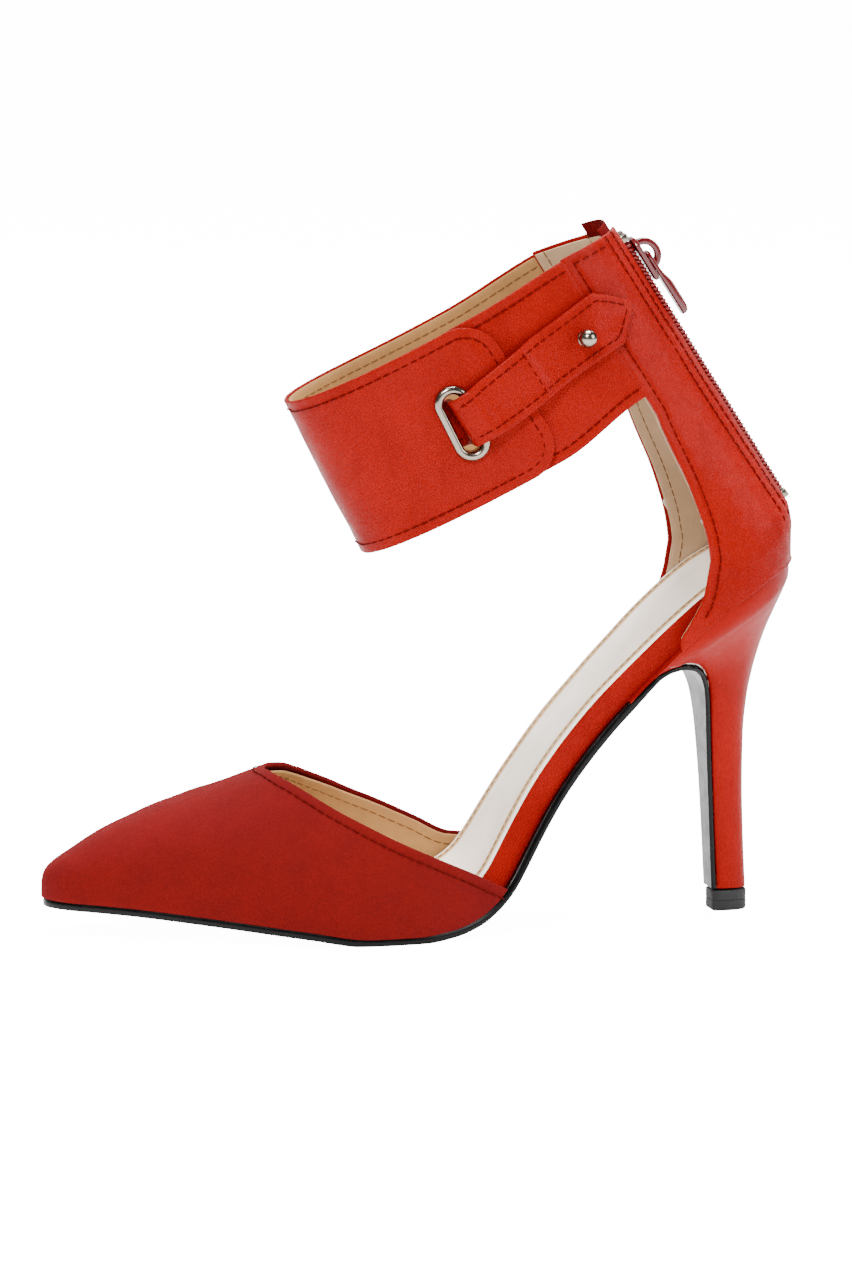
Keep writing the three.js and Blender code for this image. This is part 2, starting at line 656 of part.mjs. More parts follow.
function underSheet(start, end, trim) {
  return gridSheet(
    range(5),
    range(5),
    (c, r) => {
      const g = lerp(start, end, c);
      const [low, high] = [cuffLow(g, LATERAL) + trim, cuffHigh(g, LATERAL) - trim];
      return cuffPoint(g, lerp(low, high, r), LATERAL);
    },
    true,
  );
}

// ---------------------------------------------------------------- strap, eyelet and stud
const EYELET = { g: 70.5, p: 85.3, wide: 10.5, high: 23, holeWide: 5.5, holeHigh: 18 };
const EYELET_BARREL = 0.9;
const FLANGE = 0.9;
const STRAP_THICKNESS = 1.8;
const STUD = { g: 28.4, p: 89.6 };

/** An obround standing upright, with its round ends' centres above and below the middle. */
function obround(wide, high, sides = 8) {
  const radius = wide / 2;
  const rise = high / 2 - radius;
  const arc = (start, lift) =>
    range(sides).map((t) => {
      const angle = start + Math.PI * t;
      return new THREE.Vector2(radius * Math.cos(angle), lift + radius * Math.sin(angle));
    });
  return [...arc(0, rise), ...arc(Math.PI, -rise)];
}
function obroundSolid(wide, high, low, top, hole) {
  const shape = new THREE.Shape(obround(wide, high));
  if (hole) shape.holes.push(new THREE.Path(obround(...hole).reverse()));
  return new THREE.ExtrudeGeometry(shape, { depth: top - low, bevelEnabled: false })
    .translate(0, 0, low);
}
const eyeletFrame = () => legFrame(EYELET.g, EYELET.p, LATERAL);
const barrelSize = (extra) => [
  EYELET.holeWide + 2 * EYELET_BARREL + extra,
  EYELET.holeHigh + 2 * EYELET_BARREL + extra,
];
const FLANGE_LOW = CUFF_OUTER[1] + 0.4;
const WASHER_HIGH = CUFF_INNER[0] - 0.4;
function eyelet() {
  const hole = [EYELET.holeWide, EYELET.holeHigh];
  return moved(
    weld(
      obroundSolid(EYELET.wide, EYELET.high, FLANGE_LOW, FLANGE_LOW + FLANGE, hole),
      obroundSolid(...barrelSize(0), WASHER_HIGH - FLANGE, FLANGE_LOW + 0.3, hole),
    ),
    eyeletFrame(),
  );
}
const eyeletWasher = () =>
  moved(
    obroundSolid(EYELET.wide, EYELET.high, WASHER_HIGH - FLANGE, WASHER_HIGH, barrelSize(0.6)),
    eyeletFrame(),
  );
const eyeletHole = () => moved(obroundSolid(...barrelSize(0.7), -6, 6), eyeletFrame());

// The strap's middle line: g, p, depth of its under face and half width.
const STRAP_LINE = [
  [77, 85.2, -5.3, 7], [73.4, 85.2, -5.2, 7], [71.4, 85.2, -4.6, 7], [70.1, 85.2, -3.3, 7],
  [69.5, 85.2, -1.6, 7.1], [69.3, 85.2, 0.6, 7.1], [69, 85.2, 2.3, 7.1], [68.1, 85.3, 3.2, 7.1],
  [65, 85.5, 3.5, 7.3], [61, 85.9, 2.5, 7.7], [55, 86.7, 2, 7.9], [48, 87.8, 1.9, 8], [43, 88.7, 0.9, 8],
  [38, 89.3, 0.4, 8], [32, 89.9, 0.4, 8], [26, 90.4, 0.4, 8.1], [21, 90.7, 0.4, 8.2],
  [18.6, 90.7, 0.4, 7.6], [14, 90.8, 0.45, 4.4], [11.6, 90.8, 0.5, 1.4],
];
const strapRow = [3, 2, 1].map((k) => through(STRAP_LINE.map((row) => [-row[0], row[k]])));
/** A point of the strap's under face; v runs across it from -1 to 1. */
function strapPoint(g, v) {
  const [half, depth, middle] = strapRow.map((f) => f(-g));
  return new THREE.Vector3(0, 0, depth).applyMatrix4(legFrame(g, middle + v * half, LATERAL));
}
function strapSheet() {
  const along = STRAP_LINE.map(([g]) => g).reverse();
  return gridSheet(along, [-1, -0.5, 0, 0.5, 1], strapPoint, true);
}

const STUD_POST = 1.1;
const studFrame = () => legFrame(STUD.g, STUD.p, LATERAL);
function stud() {
  const top = 0.4 + STRAP_THICKNESS;
  const ball = new THREE.SphereGeometry(2.6, 16, 10).translate(0, 0, top + 2.9);
  return moved(
    weld(bar(STUD_POST, -0.6, top + 1.2, 12), bar(2.2, top + 0.3, top + 0.9, 16), ball),
    studFrame(),
  );
}
function studBase() {
  const cap = bar(3.6, UNDER_INNER[0] - 1.3, UNDER_INNER[0] - 0.35, 16);
  return moved(weld(cap, bar(STUD_POST, UNDER_INNER[0] - 0.5, -0.9, 12)), studFrame());
}
const studHole = () => moved(bar(STUD_POST + GAP, -8, 8, 12), studFrame());

// ---------------------------------------------------------------- zip
const ZIP_UP = LEG_UP.clone().multiplyScalar(Math.cos(ZIP_TILT))
  .addScaledVector(LEG_FORWARD, Math.sin(ZIP_TILT));
const ZIP_OUT = new THREE.Vector3(0, 1, 0).cross(ZIP_UP);
const ZIP_LENGTH = (ZIP_HIGH - ZIP_LOW) / Math.cos(ZIP_TILT);
const zipFrame = () =>
  new THREE.Matrix4()
    .makeBasis(ZIP_OUT, new THREE.Vector3(0, 1, 0), ZIP_UP)
    .setPosition(legPoint(0, ZIP_LOW, 1));
// In the zip's frame x is out of the shoe, y to the inner side and z up along the chain.
const COIL = { inner: 0.55, outer: 2.9, low: -0.9, high: 1.5 };
const SLIDER = { length: 14, half: 4, plate: 1.3, web: 0.5, z: ZIP_LENGTH - 9.4 };
const PLATE_LOW = COIL.high + GAP;
const BACK_PLATE_HIGH = STIFF_LAYER[0] - 0.7;
const CROWN = { half: 0.8, reach: 3.2, rise: 3, strip: 0.9 };
const PULL_Z = SLIDER.z + 0.6; // the pull's pivot on the chain
const PULL_X = PLATE_LOW + SLIDER.plate + 1.05;
const PULL = { length: 20.5, half: 2.2, thickness: 1.5, arm: 0.8, eye: 5.2, bar: 0.5 };

/** Half the chain: a bar along the tape's edge. */
function coil(side) {
  const [a, b] = [side * COIL.inner, side * COIL.outer];
  return moved(
    boxBetween(
      [COIL.low, Math.min(a, b), 3.2],
      [COIL.high, Math.max(a, b), ZIP_LENGTH - 2.6],
    ),
    zipFrame(),
  );
}
function tape(side) {
  const sheet = gridSheet(
    range(5),
    range(6),
    (c, r) => {
      const p = lerp(ZIP_LOW + 0.6, ZIP_HIGH + 1.5, r);
      return legPoint(backAt(lerp(COIL.inner, 10.5, c), p), p, side);
    },
    side === LATERAL,
  );
  return layer(sheet, [STIFF_LAYER[0] + 0.08, STIFF_LAYER[1] - 0.05]);
}
function topStop(side) {
  const [a, b] = [side * COIL.inner, side * 2.7];
  const z = ZIP_LENGTH - 2.2 + (side === MEDIAL ? 0.5 : 0);
  return moved(
    boxBetween([COIL.low, Math.min(a, b), z], [1.7, Math.max(a, b), z + 2.4]),
    zipFrame(),
  );
}
const bottomStop = () => moved(boxBetween([COIL.low, -2.7, 0.4], [1.7, 2.7, 2.9]), zipFrame());

function slider() {
  const { half, length, plate, web, z } = SLIDER;
  const outline = [
    new THREE.Vector2(-length / 2, half * 0.72), new THREE.Vector2(-length / 2, -half * 0.72),
    new THREE.Vector2(-1, -half * 0.86), new THREE.Vector2(length / 2 - 2, -half),
    new THREE.Vector2(length / 2, -half + 1.6), new THREE.Vector2(length / 2, half - 1.6),
    new THREE.Vector2(length / 2 - 2, half), new THREE.Vector2(-1, half * 0.86),
  ];
  const turn = new THREE.Matrix4().makeBasis(
    new THREE.Vector3(0, 0, 1), new THREE.Vector3(0, 1, 0), new THREE.Vector3(-1, 0, 0),
  );
  const plateAt = (high) =>
    moved(
      new THREE.ExtrudeGeometry(new THREE.Shape(outline), { depth: plate, bevelEnabled: false }),
      turn,
    ).translate(high, 0, z);
  const front = PLATE_LOW + plate;
  const { reach, rise, strip } = CROWN;
  const crownBase = z + 0.6;
  return moved(
    weld(
      plateAt(front),
      plateAt(BACK_PLATE_HIGH),
      boxBetween(
        [BACK_PLATE_HIGH - 0.4, -web / 2, z + length / 2 - 4],
        [PLATE_LOW + 0.4, web / 2, z + length / 2 - 0.5],
      ),
      boxBetween(
        [front - 0.3, -CROWN.half, crownBase - reach],
        [front + rise, CROWN.half, crownBase - reach + strip],
      ),
      boxBetween(
        [front - 0.3, -CROWN.half, crownBase + reach - strip],
        [front + rise, CROWN.half, crownBase + reach],
      ),
      boxBetween(
        [front + rise - strip, -CROWN.half, crownBase - reach],
        [front + rise, CROWN.half, crownBase + reach],
      ),
    ),
    zipFrame(),
  );
}

/** The pull hangs down the chain from the bar that passes under the slider's crown. */
function pull() {
  const { length, half, thickness, arm, eye } = PULL;
  const thick = [PULL_X - thickness / 2, PULL_X + thickness / 2];
  const arms = [-1, 1].map((side) =>
    boxBetween(
      [thick[0], Math.min(side * half, side * (half - arm)), PULL_Z - eye - 0.5],
      [thick[1], Math.max(side * half, side * (half - arm)), PULL_Z + 0.5],
    ),
  );
  const pivot = new THREE.CylinderGeometry(PULL.bar, PULL.bar, 2 * half - 0.2, 12)
    .translate(PULL_X, 0, PULL_Z);
  const blade = boxBetween(
    [thick[0], -half, PULL_Z - length],
    [thick[1], half, PULL_Z - eye],
  );
  return moved(weld(blade, ...arms, pivot), zipFrame());
}

// ---------------------------------------------------------------- assembly
const LOOKS = {
  suede: { color: 0x8c1517, roughness: 0.95 },
  leather: { color: 0xb3241d, roughness: 0.5 },
  lining: { color: 0xb98f5f, roughness: 0.7 },
  sock: { color: 0xe6d3c0, roughness: 0.6 },
  sole: { color: 0x14110f, roughness: 0.35 },
  rubber: { color: 0x101010, roughness: 0.8 },
  board: { color: 0x8a6a47, roughness: 0.9 },
  foam: { color: 0xd8cfae, roughness: 0.9 },
  stiffener: { color: 0xcfc7b4, roughness: 0.9 },
  plastic: { color: 0xc9c3b6, roughness: 0.6 },
  tape: { color: 0x8e1b1a, roughness: 0.9 },
  slider: { color: 0x8e1218, roughness: 0.25 },
  steel: { color: 0xb9bcc0, roughness: 0.3, metalness: 1 },
  chrome: { color: 0xd6d6d8, roughness: 0.15, metalness: 1 },
};

const shoe = new THREE.Group();
shoe.name = "high_heel_pump";
function add(name, look, geometry) {
  const mesh = new THREE.Mesh(geometry, new THREE.MeshStandardMaterial(LOOKS[look]));
  mesh.name = name;
  shoe.add(mesh);
}

add("outsole", "sole", outsole());
add("forepart_filler", "foam", cut(core(FILL_LAYER), shankSlot(), ...fastenerHoles()));
add("steel_shank", "steel", cut(shank(), ...fastenerHoles().slice(3)));
add("insole_board", "board", cut(core(BOARD_LAYER), ...fastenerHoles()));
add("insole_cushion", "foam", core(CUSHION_LAYER));
add("insole_wrap", "leather", wrap());
add("sock_lining", "sock", sock());

add(
  "heel_block",
  "plastic",
  cut(blockBlank(), ...fastenerHoles(), stemBar({ ...DOWEL, low: 0 }, GAP)),
);
add("heel_cover", "leather", coverSolid());
add("heel_dowel", "steel", cut(stemBar(DOWEL, 0), stemBar(PIN, GAP)));
add("top_piece", "rubber", topPiece());
add("top_piece_pin", "steel", stemBar(PIN, 0));
for (const each of FASTENERS) add(each[0], "steel", fastener(each, 0));

add("vamp", "suede", vamp());
add("toe_puff", "stiffener", toePuff());
add("vamp_lining", "lining", vampLining());
add("quarter_lateral", "leather", quarter(LATERAL));
add("quarter_medial", "leather", quarter(MEDIAL));
add("quarter_lining_lateral", "lining", quarterLining(LATERAL));
add("quarter_lining_medial", "lining", quarterLining(MEDIAL));
add("heel_counter", "stiffener", heelCounter());

const seamG = SEAM_G + 0.4;
add(
  "cuff_band",
  "leather",
  cut(layer(cuffSheet(FLAP_END_G, seamG, true, 0), CUFF_OUTER), eyeletHole()),
);
add(
  "cuff_lining",
  "lining",
  cut(layer(cuffSheet(UNDER_END_G + 0.5, seamG, false, 0.4), CUFF_INNER), eyeletHole()),
);
add("cuff_underlay", "leather", cut(layer(underSheet(seamG, UNDER_END_G, 0), UNDER_OUTER), studHole()));
add(
  "underlay_lining",
  "lining",
  cut(layer(underSheet(seamG, UNDER_END_G, 0.4), UNDER_INNER), studHole()),
);
add("pull_strap", "leather", cut(layer(strapSheet(), [0, STRAP_THICKNESS]), studHole()));
add("eyelet", "chrome", eyelet());
add("eyelet_washer", "chrome", eyeletWasher());
add("stud", "chrome", stud());
add("stud_base", "chrome", studBase());

for (const [name, side] of [["lateral", LATERAL], ["medial", MEDIAL]]) {
  add("zip_tape_" + name, "tape", tape(side));
  add("zip_coil_" + name, "tape", coil(side));
  add("zip_top_stop_" + name, "chrome", topStop(side));
}
add("zip_bottom_stop", "chrome", bottomStop());
add("zip_slider", "slider", slider());
add("zip_pull", "slider", pull());

// The origin goes to the middle of the shoe's box, on the ground.
const box = new THREE.Box3().setFromObject(shoe, true);
const middle = box.getCenter(new THREE.Vector3());
shoe.position.set(-middle.x, -middle.y, -box.min.z);

export default shoe;
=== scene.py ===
"""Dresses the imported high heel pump: a left shoe in red suede and leather with an ankle cuff.

Lengths in the size classes are millimetres in the last's own frame, whose toe points to -X, whose outer
side is -Y and whose ground is at zero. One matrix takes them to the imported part's frame in metres.
"""

import logging
import math
from collections.abc import Callable, Sequence
from dataclasses import dataclass, field
from enum import Enum
from typing import Any

import bmesh
import bpy
import numpy as np
from mathutils import Matrix, Vector


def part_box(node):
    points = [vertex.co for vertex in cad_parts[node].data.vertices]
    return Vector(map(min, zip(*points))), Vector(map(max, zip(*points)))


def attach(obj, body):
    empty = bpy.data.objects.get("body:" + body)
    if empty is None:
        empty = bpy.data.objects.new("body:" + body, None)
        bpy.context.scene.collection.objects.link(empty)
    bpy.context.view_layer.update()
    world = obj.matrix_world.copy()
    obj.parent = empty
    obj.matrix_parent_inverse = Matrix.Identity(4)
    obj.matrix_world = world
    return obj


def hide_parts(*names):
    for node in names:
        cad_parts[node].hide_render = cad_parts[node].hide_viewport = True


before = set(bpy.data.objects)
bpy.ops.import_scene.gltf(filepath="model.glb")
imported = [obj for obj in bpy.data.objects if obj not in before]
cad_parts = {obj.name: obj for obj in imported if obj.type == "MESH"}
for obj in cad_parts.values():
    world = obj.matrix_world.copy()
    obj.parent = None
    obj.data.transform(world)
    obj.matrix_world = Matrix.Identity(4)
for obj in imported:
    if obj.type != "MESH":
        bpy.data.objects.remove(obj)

Array = np.ndarray
MM = 0.001
LOG = logging.getLogger("pump")
logging.basicConfig(level=logging.INFO, format="%(message)s")


class Side(Enum):
    """The shoe's two sides, by the sign of y."""

    OUTER = -1
    INNER = 1


SIDE_WORDS = {Side.OUTER: "lateral", Side.INNER: "medial"}


class Body(Enum):
    """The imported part's moving bodies."""

    SHOE = "shoe"
    SLIDER = "slider"
    PULL = "pull"


# ---------------------------------------------------------------- curves


class Curve:
    """A smooth function through knots, monotone between them and level beyond both ends."""

    def __init__(self, knots: Sequence[tuple[float, float]]) -> None:
        """Prepares the curve's tangents.

        Args:
            knots: The (x, value) pairs, by rising x.
        """
        table = np.array(knots, float)
        self.x, self.y = table[:, 0], table[:, 1]
        slope = np.diff(self.y) / np.diff(self.x)
        product, total = slope[:-1] * slope[1:], slope[:-1] + slope[1:]
        inner = np.where(product > 0, 2 * product / np.where(product > 0, total, 1), 0)
        self.tangent = np.concatenate([slope[:1], inner, slope[-1:]])

    def __call__(self, x: Array | float) -> Array:
        """Evaluates the curve.

        Args:
            x: Where to evaluate it.

        Returns:
            The values there.
        """
        x = np.clip(np.asarray(x, float), self.x[0], self.x[-1])
        i = np.clip(np.searchsorted(self.x, x, side="right") - 1, 0, len(self.x) - 2)
        h = self.x[i + 1] - self.x[i]
        t = (x - self.x[i]) / h
        s = 1 - t
        return (
            self.y[i] * s * s * (1 + 2 * t)
            + self.y[i + 1] * t * t * (1 + 2 * s)
            + h * t * s * (self.tangent[i] * s - self.tangent[i + 1] * t)
        )


def smoothstep(x: Array | float, low: float, high: float) -> Array:
    """Rises smoothly from 0 at low to 1 at high."""
    t = np.clip((np.asarray(x, float) - low) / (high - low), 0, 1)
    return t * t * (3 - 2 * t)


def crossing(rise: Callable[[Array], Array], low: Array, high: Array) -> Array:
    """Finds where a rising function crosses zero.

    Args:
        rise: The function, negative at low and positive at high.
        low: Lower ends of the search.
        high: Upper ends of the search.

    Returns:
        The crossings.
    """
    low, high = np.broadcast_arrays(np.asarray(low, float), np.asarray(high, float))
    low, high = low.copy(), high.copy()
    for _ in range(40):
        middle = (low + high) / 2
        below = rise(middle) < 0
        low = np.where(below, middle, low)
        high = np.where(below, high, middle)
    return (low + high) / 2


def columns(rows: Sequence[Sequence[float]], order: Array) -> list[Array]:
    """Each column of a table as a smooth curve, read at places counted in rows."""
    return [Curve(list(enumerate(column)))(order) for column in zip(*rows)]


def squared(wave: Array, power: float) -> Array:
    """A sine or cosine whose round is squared off by a power."""
    return np.sign(wave) * np.abs(wave) ** power


def round_end(share: Array, power: float) -> Array:
    """Half width of a rounded end: 0 at its tip and 1 where the rounding starts."""
    return (1 - np.clip(1 - share, 0, 1) ** power) ** (1 / power)


def vec(x: Array | float, y: Array | float, z: Array | float) -> Array:
    """Stacks three broadcast coordinates into points."""
    return np.stack(np.broadcast_arrays(x, y, z), -1).astype(float)


# ---------------------------------------------------------------- the last


@dataclass(frozen=True)
class Last:
    """The form the shoe is made on: its seat line, outline and the forepart's arches."""

    toe_x: float = -108
    heel_x: float = 110
    seat_z: float = 103
    gap: float = 0.3
    toe_round: float = 9
    heel_round: float = 24
    heel_power: float = 2.3
    seat: Curve = Curve([
        (-108, 10.4), (-88, 9.4), (-64, 7.2), (-38, 4.2), (-22, 2.2), (-8, 2.2), (3, 3.3), (11, 5.6),
        (17, 9.4), (21.5, 14), (25, 19.4), (30, 28), (36, 37.6), (44, 48.6), (52, 58), (60, 66.4),
        (68, 74.3), (76, 81.9), (84, 88.7), (92, 94.5), (100, 99.2), (106, 101.6), (110, 103),
    ])
    half: Curve = Curve([
        (-108, 8), (-100, 10.2), (-90, 14.4), (-75, 20.6), (-60, 26.6), (-45, 32.2), (-30, 36),
        (-20, 36.8), (-8, 35.6), (4, 32), (16, 27), (28, 22.7), (40, 20.8), (52, 20.8), (64, 22.2),
        (78, 24), (90, 24.6),
    ])
    middle: Curve = Curve([(-108, 7), (-80, 5), (-50, 2), (-20, -0.6), (10, -1.5), (40, -1), (75, 0)])
    crest: Curve = Curve([
        (-108, 5), (-107, 7.6), (-104.6, 10.2), (-100, 13.2), (-92.5, 18.2), (-83.4, 23.2),
        (-74.3, 27.7), (-65.3, 31.8), (-56, 35.6), (-48.7, 38.9), (-44, 41.2), (-40, 43), (-20, 47.5),
        (0, 53), (28, 60),
    ])
    power: Curve = Curve([(-108, 2.6), (-80, 2.5), (-40, 2.15)])
    throat_outer: Curve = Curve([
        (-44.2, 46.2), (-38, 42.8), (-30, 37.8), (-21.7, 33.3), (-13.2, 28.9), (0.5, 22.5),
        (10.3, 17.9), (16, 14.9), (20, 12.9),
    ])
    throat_inner: Curve = Curve([
        (-44.2, 46.2), (-36, 45.4), (-32.9, 44.2), (-25, 40.6), (-14.1, 35.3), (-3.7, 30.6),
        (6.5, 25.7), (16, 21.4), (26, 21),
    ])

    def outline(self, x: Array, inset: float) -> Array:
        """Half width of an outline drawn in from the upper's, rounded at both ends.

        Args:
            x: Stations along the shoe.
            inset: How far the outline lies inside the upper's.

        Returns:
            The half widths.
        """
        toe = round_end((x - self.toe_x - inset) / self.toe_round, 2)
        heel = round_end((self.heel_x - inset - x) / (self.heel_round - inset), self.heel_power)
        return np.maximum(self.half(x) - inset, 0) * toe * heel

    def seat_normal(self, x: Array) -> Array:
        """The seat line's upward normals at the stations."""
        n = vec(self.seat(x - 0.5) - self.seat(x + 0.5), 0, 1)
        return n / np.linalg.norm(n, axis=-1, keepdims=True)

    def stations(self, start: float, end: float, shares: Array) -> Array:
        """Stations at shares of the seat line's length between two x."""
        x = np.linspace(start, end, 400)
        length = np.concatenate([[0], np.cumsum(np.hypot(np.diff(x), np.diff(self.seat(x))))])
        return np.interp(shares * length[-1], length, x)

    def arch(self, x: Array, t: Array) -> Array:
        """Points of the forepart: t runs from 0 at the outer feather edge to 1 at the inner."""
        angle = np.pi * t
        power = 2 / self.power(x)
        cos = np.cos(angle)
        reach = np.sign(cos) * np.abs(cos) ** power
        half = np.where(x <= self.toe_x + 1e-6, 0, self.outline(x, 0))
        rise = np.clip(np.sin(angle), 0, 1) ** power
        return vec(x, self.middle(x) - half * reach, self.seat(x) + self.gap + self.crest(x) * rise)

    def throat(self, t: Array) -> Array:
        """Stations at which the topline crosses the lines of constant t."""
        t = np.asarray(t, float)

        def over(x: Array) -> Array:
            """Height of the arch above the topline."""
            line = np.where(t < 0.5, self.throat_outer(x), self.throat_inner(x))
            return self.arch(x, t)[..., 2] - line

        return crossing(over, np.full(t.shape, -46.0), np.full(t.shape, 26.0))


@dataclass(frozen=True)
class Leg:
    """The leaning tube that the quarters and the cuff lie on."""

    last: Last
    tilt: float = math.radians(27)
    front: float = 108.8
    cuff_half: float = 22.5
    zip_tilt: float = math.radians(5.5)
    zip_low: float = 15
    zip_high: float = 106
    heel_curve: Curve = Curve([(-1, 0), (1, -0.3), (3, -1.3), (6.4, -3.1), (10, -4.9), (15, -6.3)])

    @property
    def up(self) -> Array:
        """Unit vector up along the leg."""
        return np.array([-math.sin(self.tilt), 0, math.cos(self.tilt)])

    @property
    def forward(self) -> Array:
        """Unit vector forward across the leg."""
        return np.array([-math.cos(self.tilt), 0, -math.sin(self.tilt)])

    def back(self, p: Array) -> Array:
        """How far the back line lies forward of the leg's straight back at height p."""
        straight = -6.3 + (np.asarray(p) - self.zip_low) * math.tan(self.zip_tilt)
        return np.where(np.asarray(p) < self.zip_low, self.heel_curve(p), straight)

    def depth(self, p: Array) -> Array:
        """The leg's depth from back to front at height p."""
        return self.front - self.back(p)

    def half(self, g: Array, p: Array) -> Array:
        """Half the leg's width at g forward of the back line and height p."""
        seat_round = self.last.heel_round / math.cos(self.tilt)
        wide = 24.6 - 0.07 * np.maximum(g - seat_round, 0)
        seat = wide * round_end(g / seat_round, self.last.heel_power)
        middle = self.depth(p) / 2
        cuff = self.cuff_half * round_end(1 - np.abs(1 - g / middle), 2.2)
        blend = smoothstep(p, 2, 62)
        return seat * (1 - blend) + cuff * blend

    def point(self, g: Array, p: Array, side: Array | float) -> Array:
        """Points of the leg surface on a side, given by its sign."""
        g, p = np.asarray(g, float), np.asarray(p, float)
        base = np.array([self.last.heel_x, 0, self.last.seat_z])
        along = (self.back(p) + g)[..., None] * self.forward + p[..., None] * self.up
        return base + along + vec(0, side * self.half(g, p), 0)

    def normal(self, g: Array, p: Array, side: Array | float) -> Array:
        """Outward normals of the leg surface."""
        forward = self.point(g + 0.5, p, side) - self.point(np.maximum(g - 0.5, 0), p, side)
        up = self.point(g, p + 0.5, side) - self.point(g, p - 0.5, side)
        out = np.cross(forward, up) * np.broadcast_to(side, np.shape(g))[..., None]
        return out / np.linalg.norm(out, axis=-1, keepdims=True)

    def line(self, g: Array, p: Array, side: Any, depth: Array | float) -> tuple[Array, Array]:
        """Points at a depth above the surface, with the surface's normals there.

        Args:
            g: How far forward of the back line they are.
            p: Their heights.
            side: The shoe's side, or its sign for each point.
            depth: How far above the surface they are.

        Returns:
            The points and the normals.
        """
        sign = side.value if isinstance(side, Side) else side
        g, p = np.broadcast_arrays(np.asarray(g, float), np.asarray(p, float))
        normal = self.normal(g, p, sign)
        rise = np.broadcast_to(depth, g.shape)[..., None]
        return self.point(g, p, sign) + normal * rise, normal

    def frame(self, g: float, p: float, side: Side) -> tuple[Array, Array, Array, Array]:
        """A frame on the surface: its point, and unit vectors forward, up and outwards."""
        at, out = self.line(np.array(g), np.array(p), side, 0.0)
        forward = self.point(g + 1, p, side.value) - self.point(g - 1, p, side.value)
        forward /= np.linalg.norm(forward)
        up = np.cross(out, forward) * -side.value
        return at, forward, up * (1 if up[2] > 0 else -1), out

    def foot(self, g: Array) -> Array:
        """Heights at which the leg surface stands on the seat line."""

        def over(p: Array) -> Array:
            """Height above the seat line."""
            here = self.point(g, p, 1)
            return here[..., 2] - self.last.seat(here[..., 0]) - self.last.gap

        return crossing(over, np.full(np.shape(g), -30.0), np.full(np.shape(g), 12.0))

    def back_at(self, half: Array, p: Array) -> Array:
        """The g at which the leg is a given half width, near its back line."""
        return crossing(lambda g: self.half(g, p) - half, np.zeros(np.shape(p)), np.full(np.shape(p), 20.0))


LAST = Last()
LEG = Leg(LAST)


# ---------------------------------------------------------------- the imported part's frame


class Place:
    """Takes the last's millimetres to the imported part's frame in metres."""

    TIP_MIDDLE = 92.625

    def __init__(self) -> None:
        """Finds the shift from the top piece, whose tip's box is known in both frames."""
        low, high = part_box("top_piece")
        x = (low.x + high.x) / 2 / MM - self.TIP_MIDDLE
        y = (low.y + high.y) / 2 / MM
        self.shift = np.array([x, y, 0])

    def __call__(self, points: Array) -> Array:
        """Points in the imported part's frame, in metres."""
        return (np.asarray(points, float) + self.shift) * MM


# ---------------------------------------------------------------- meshes


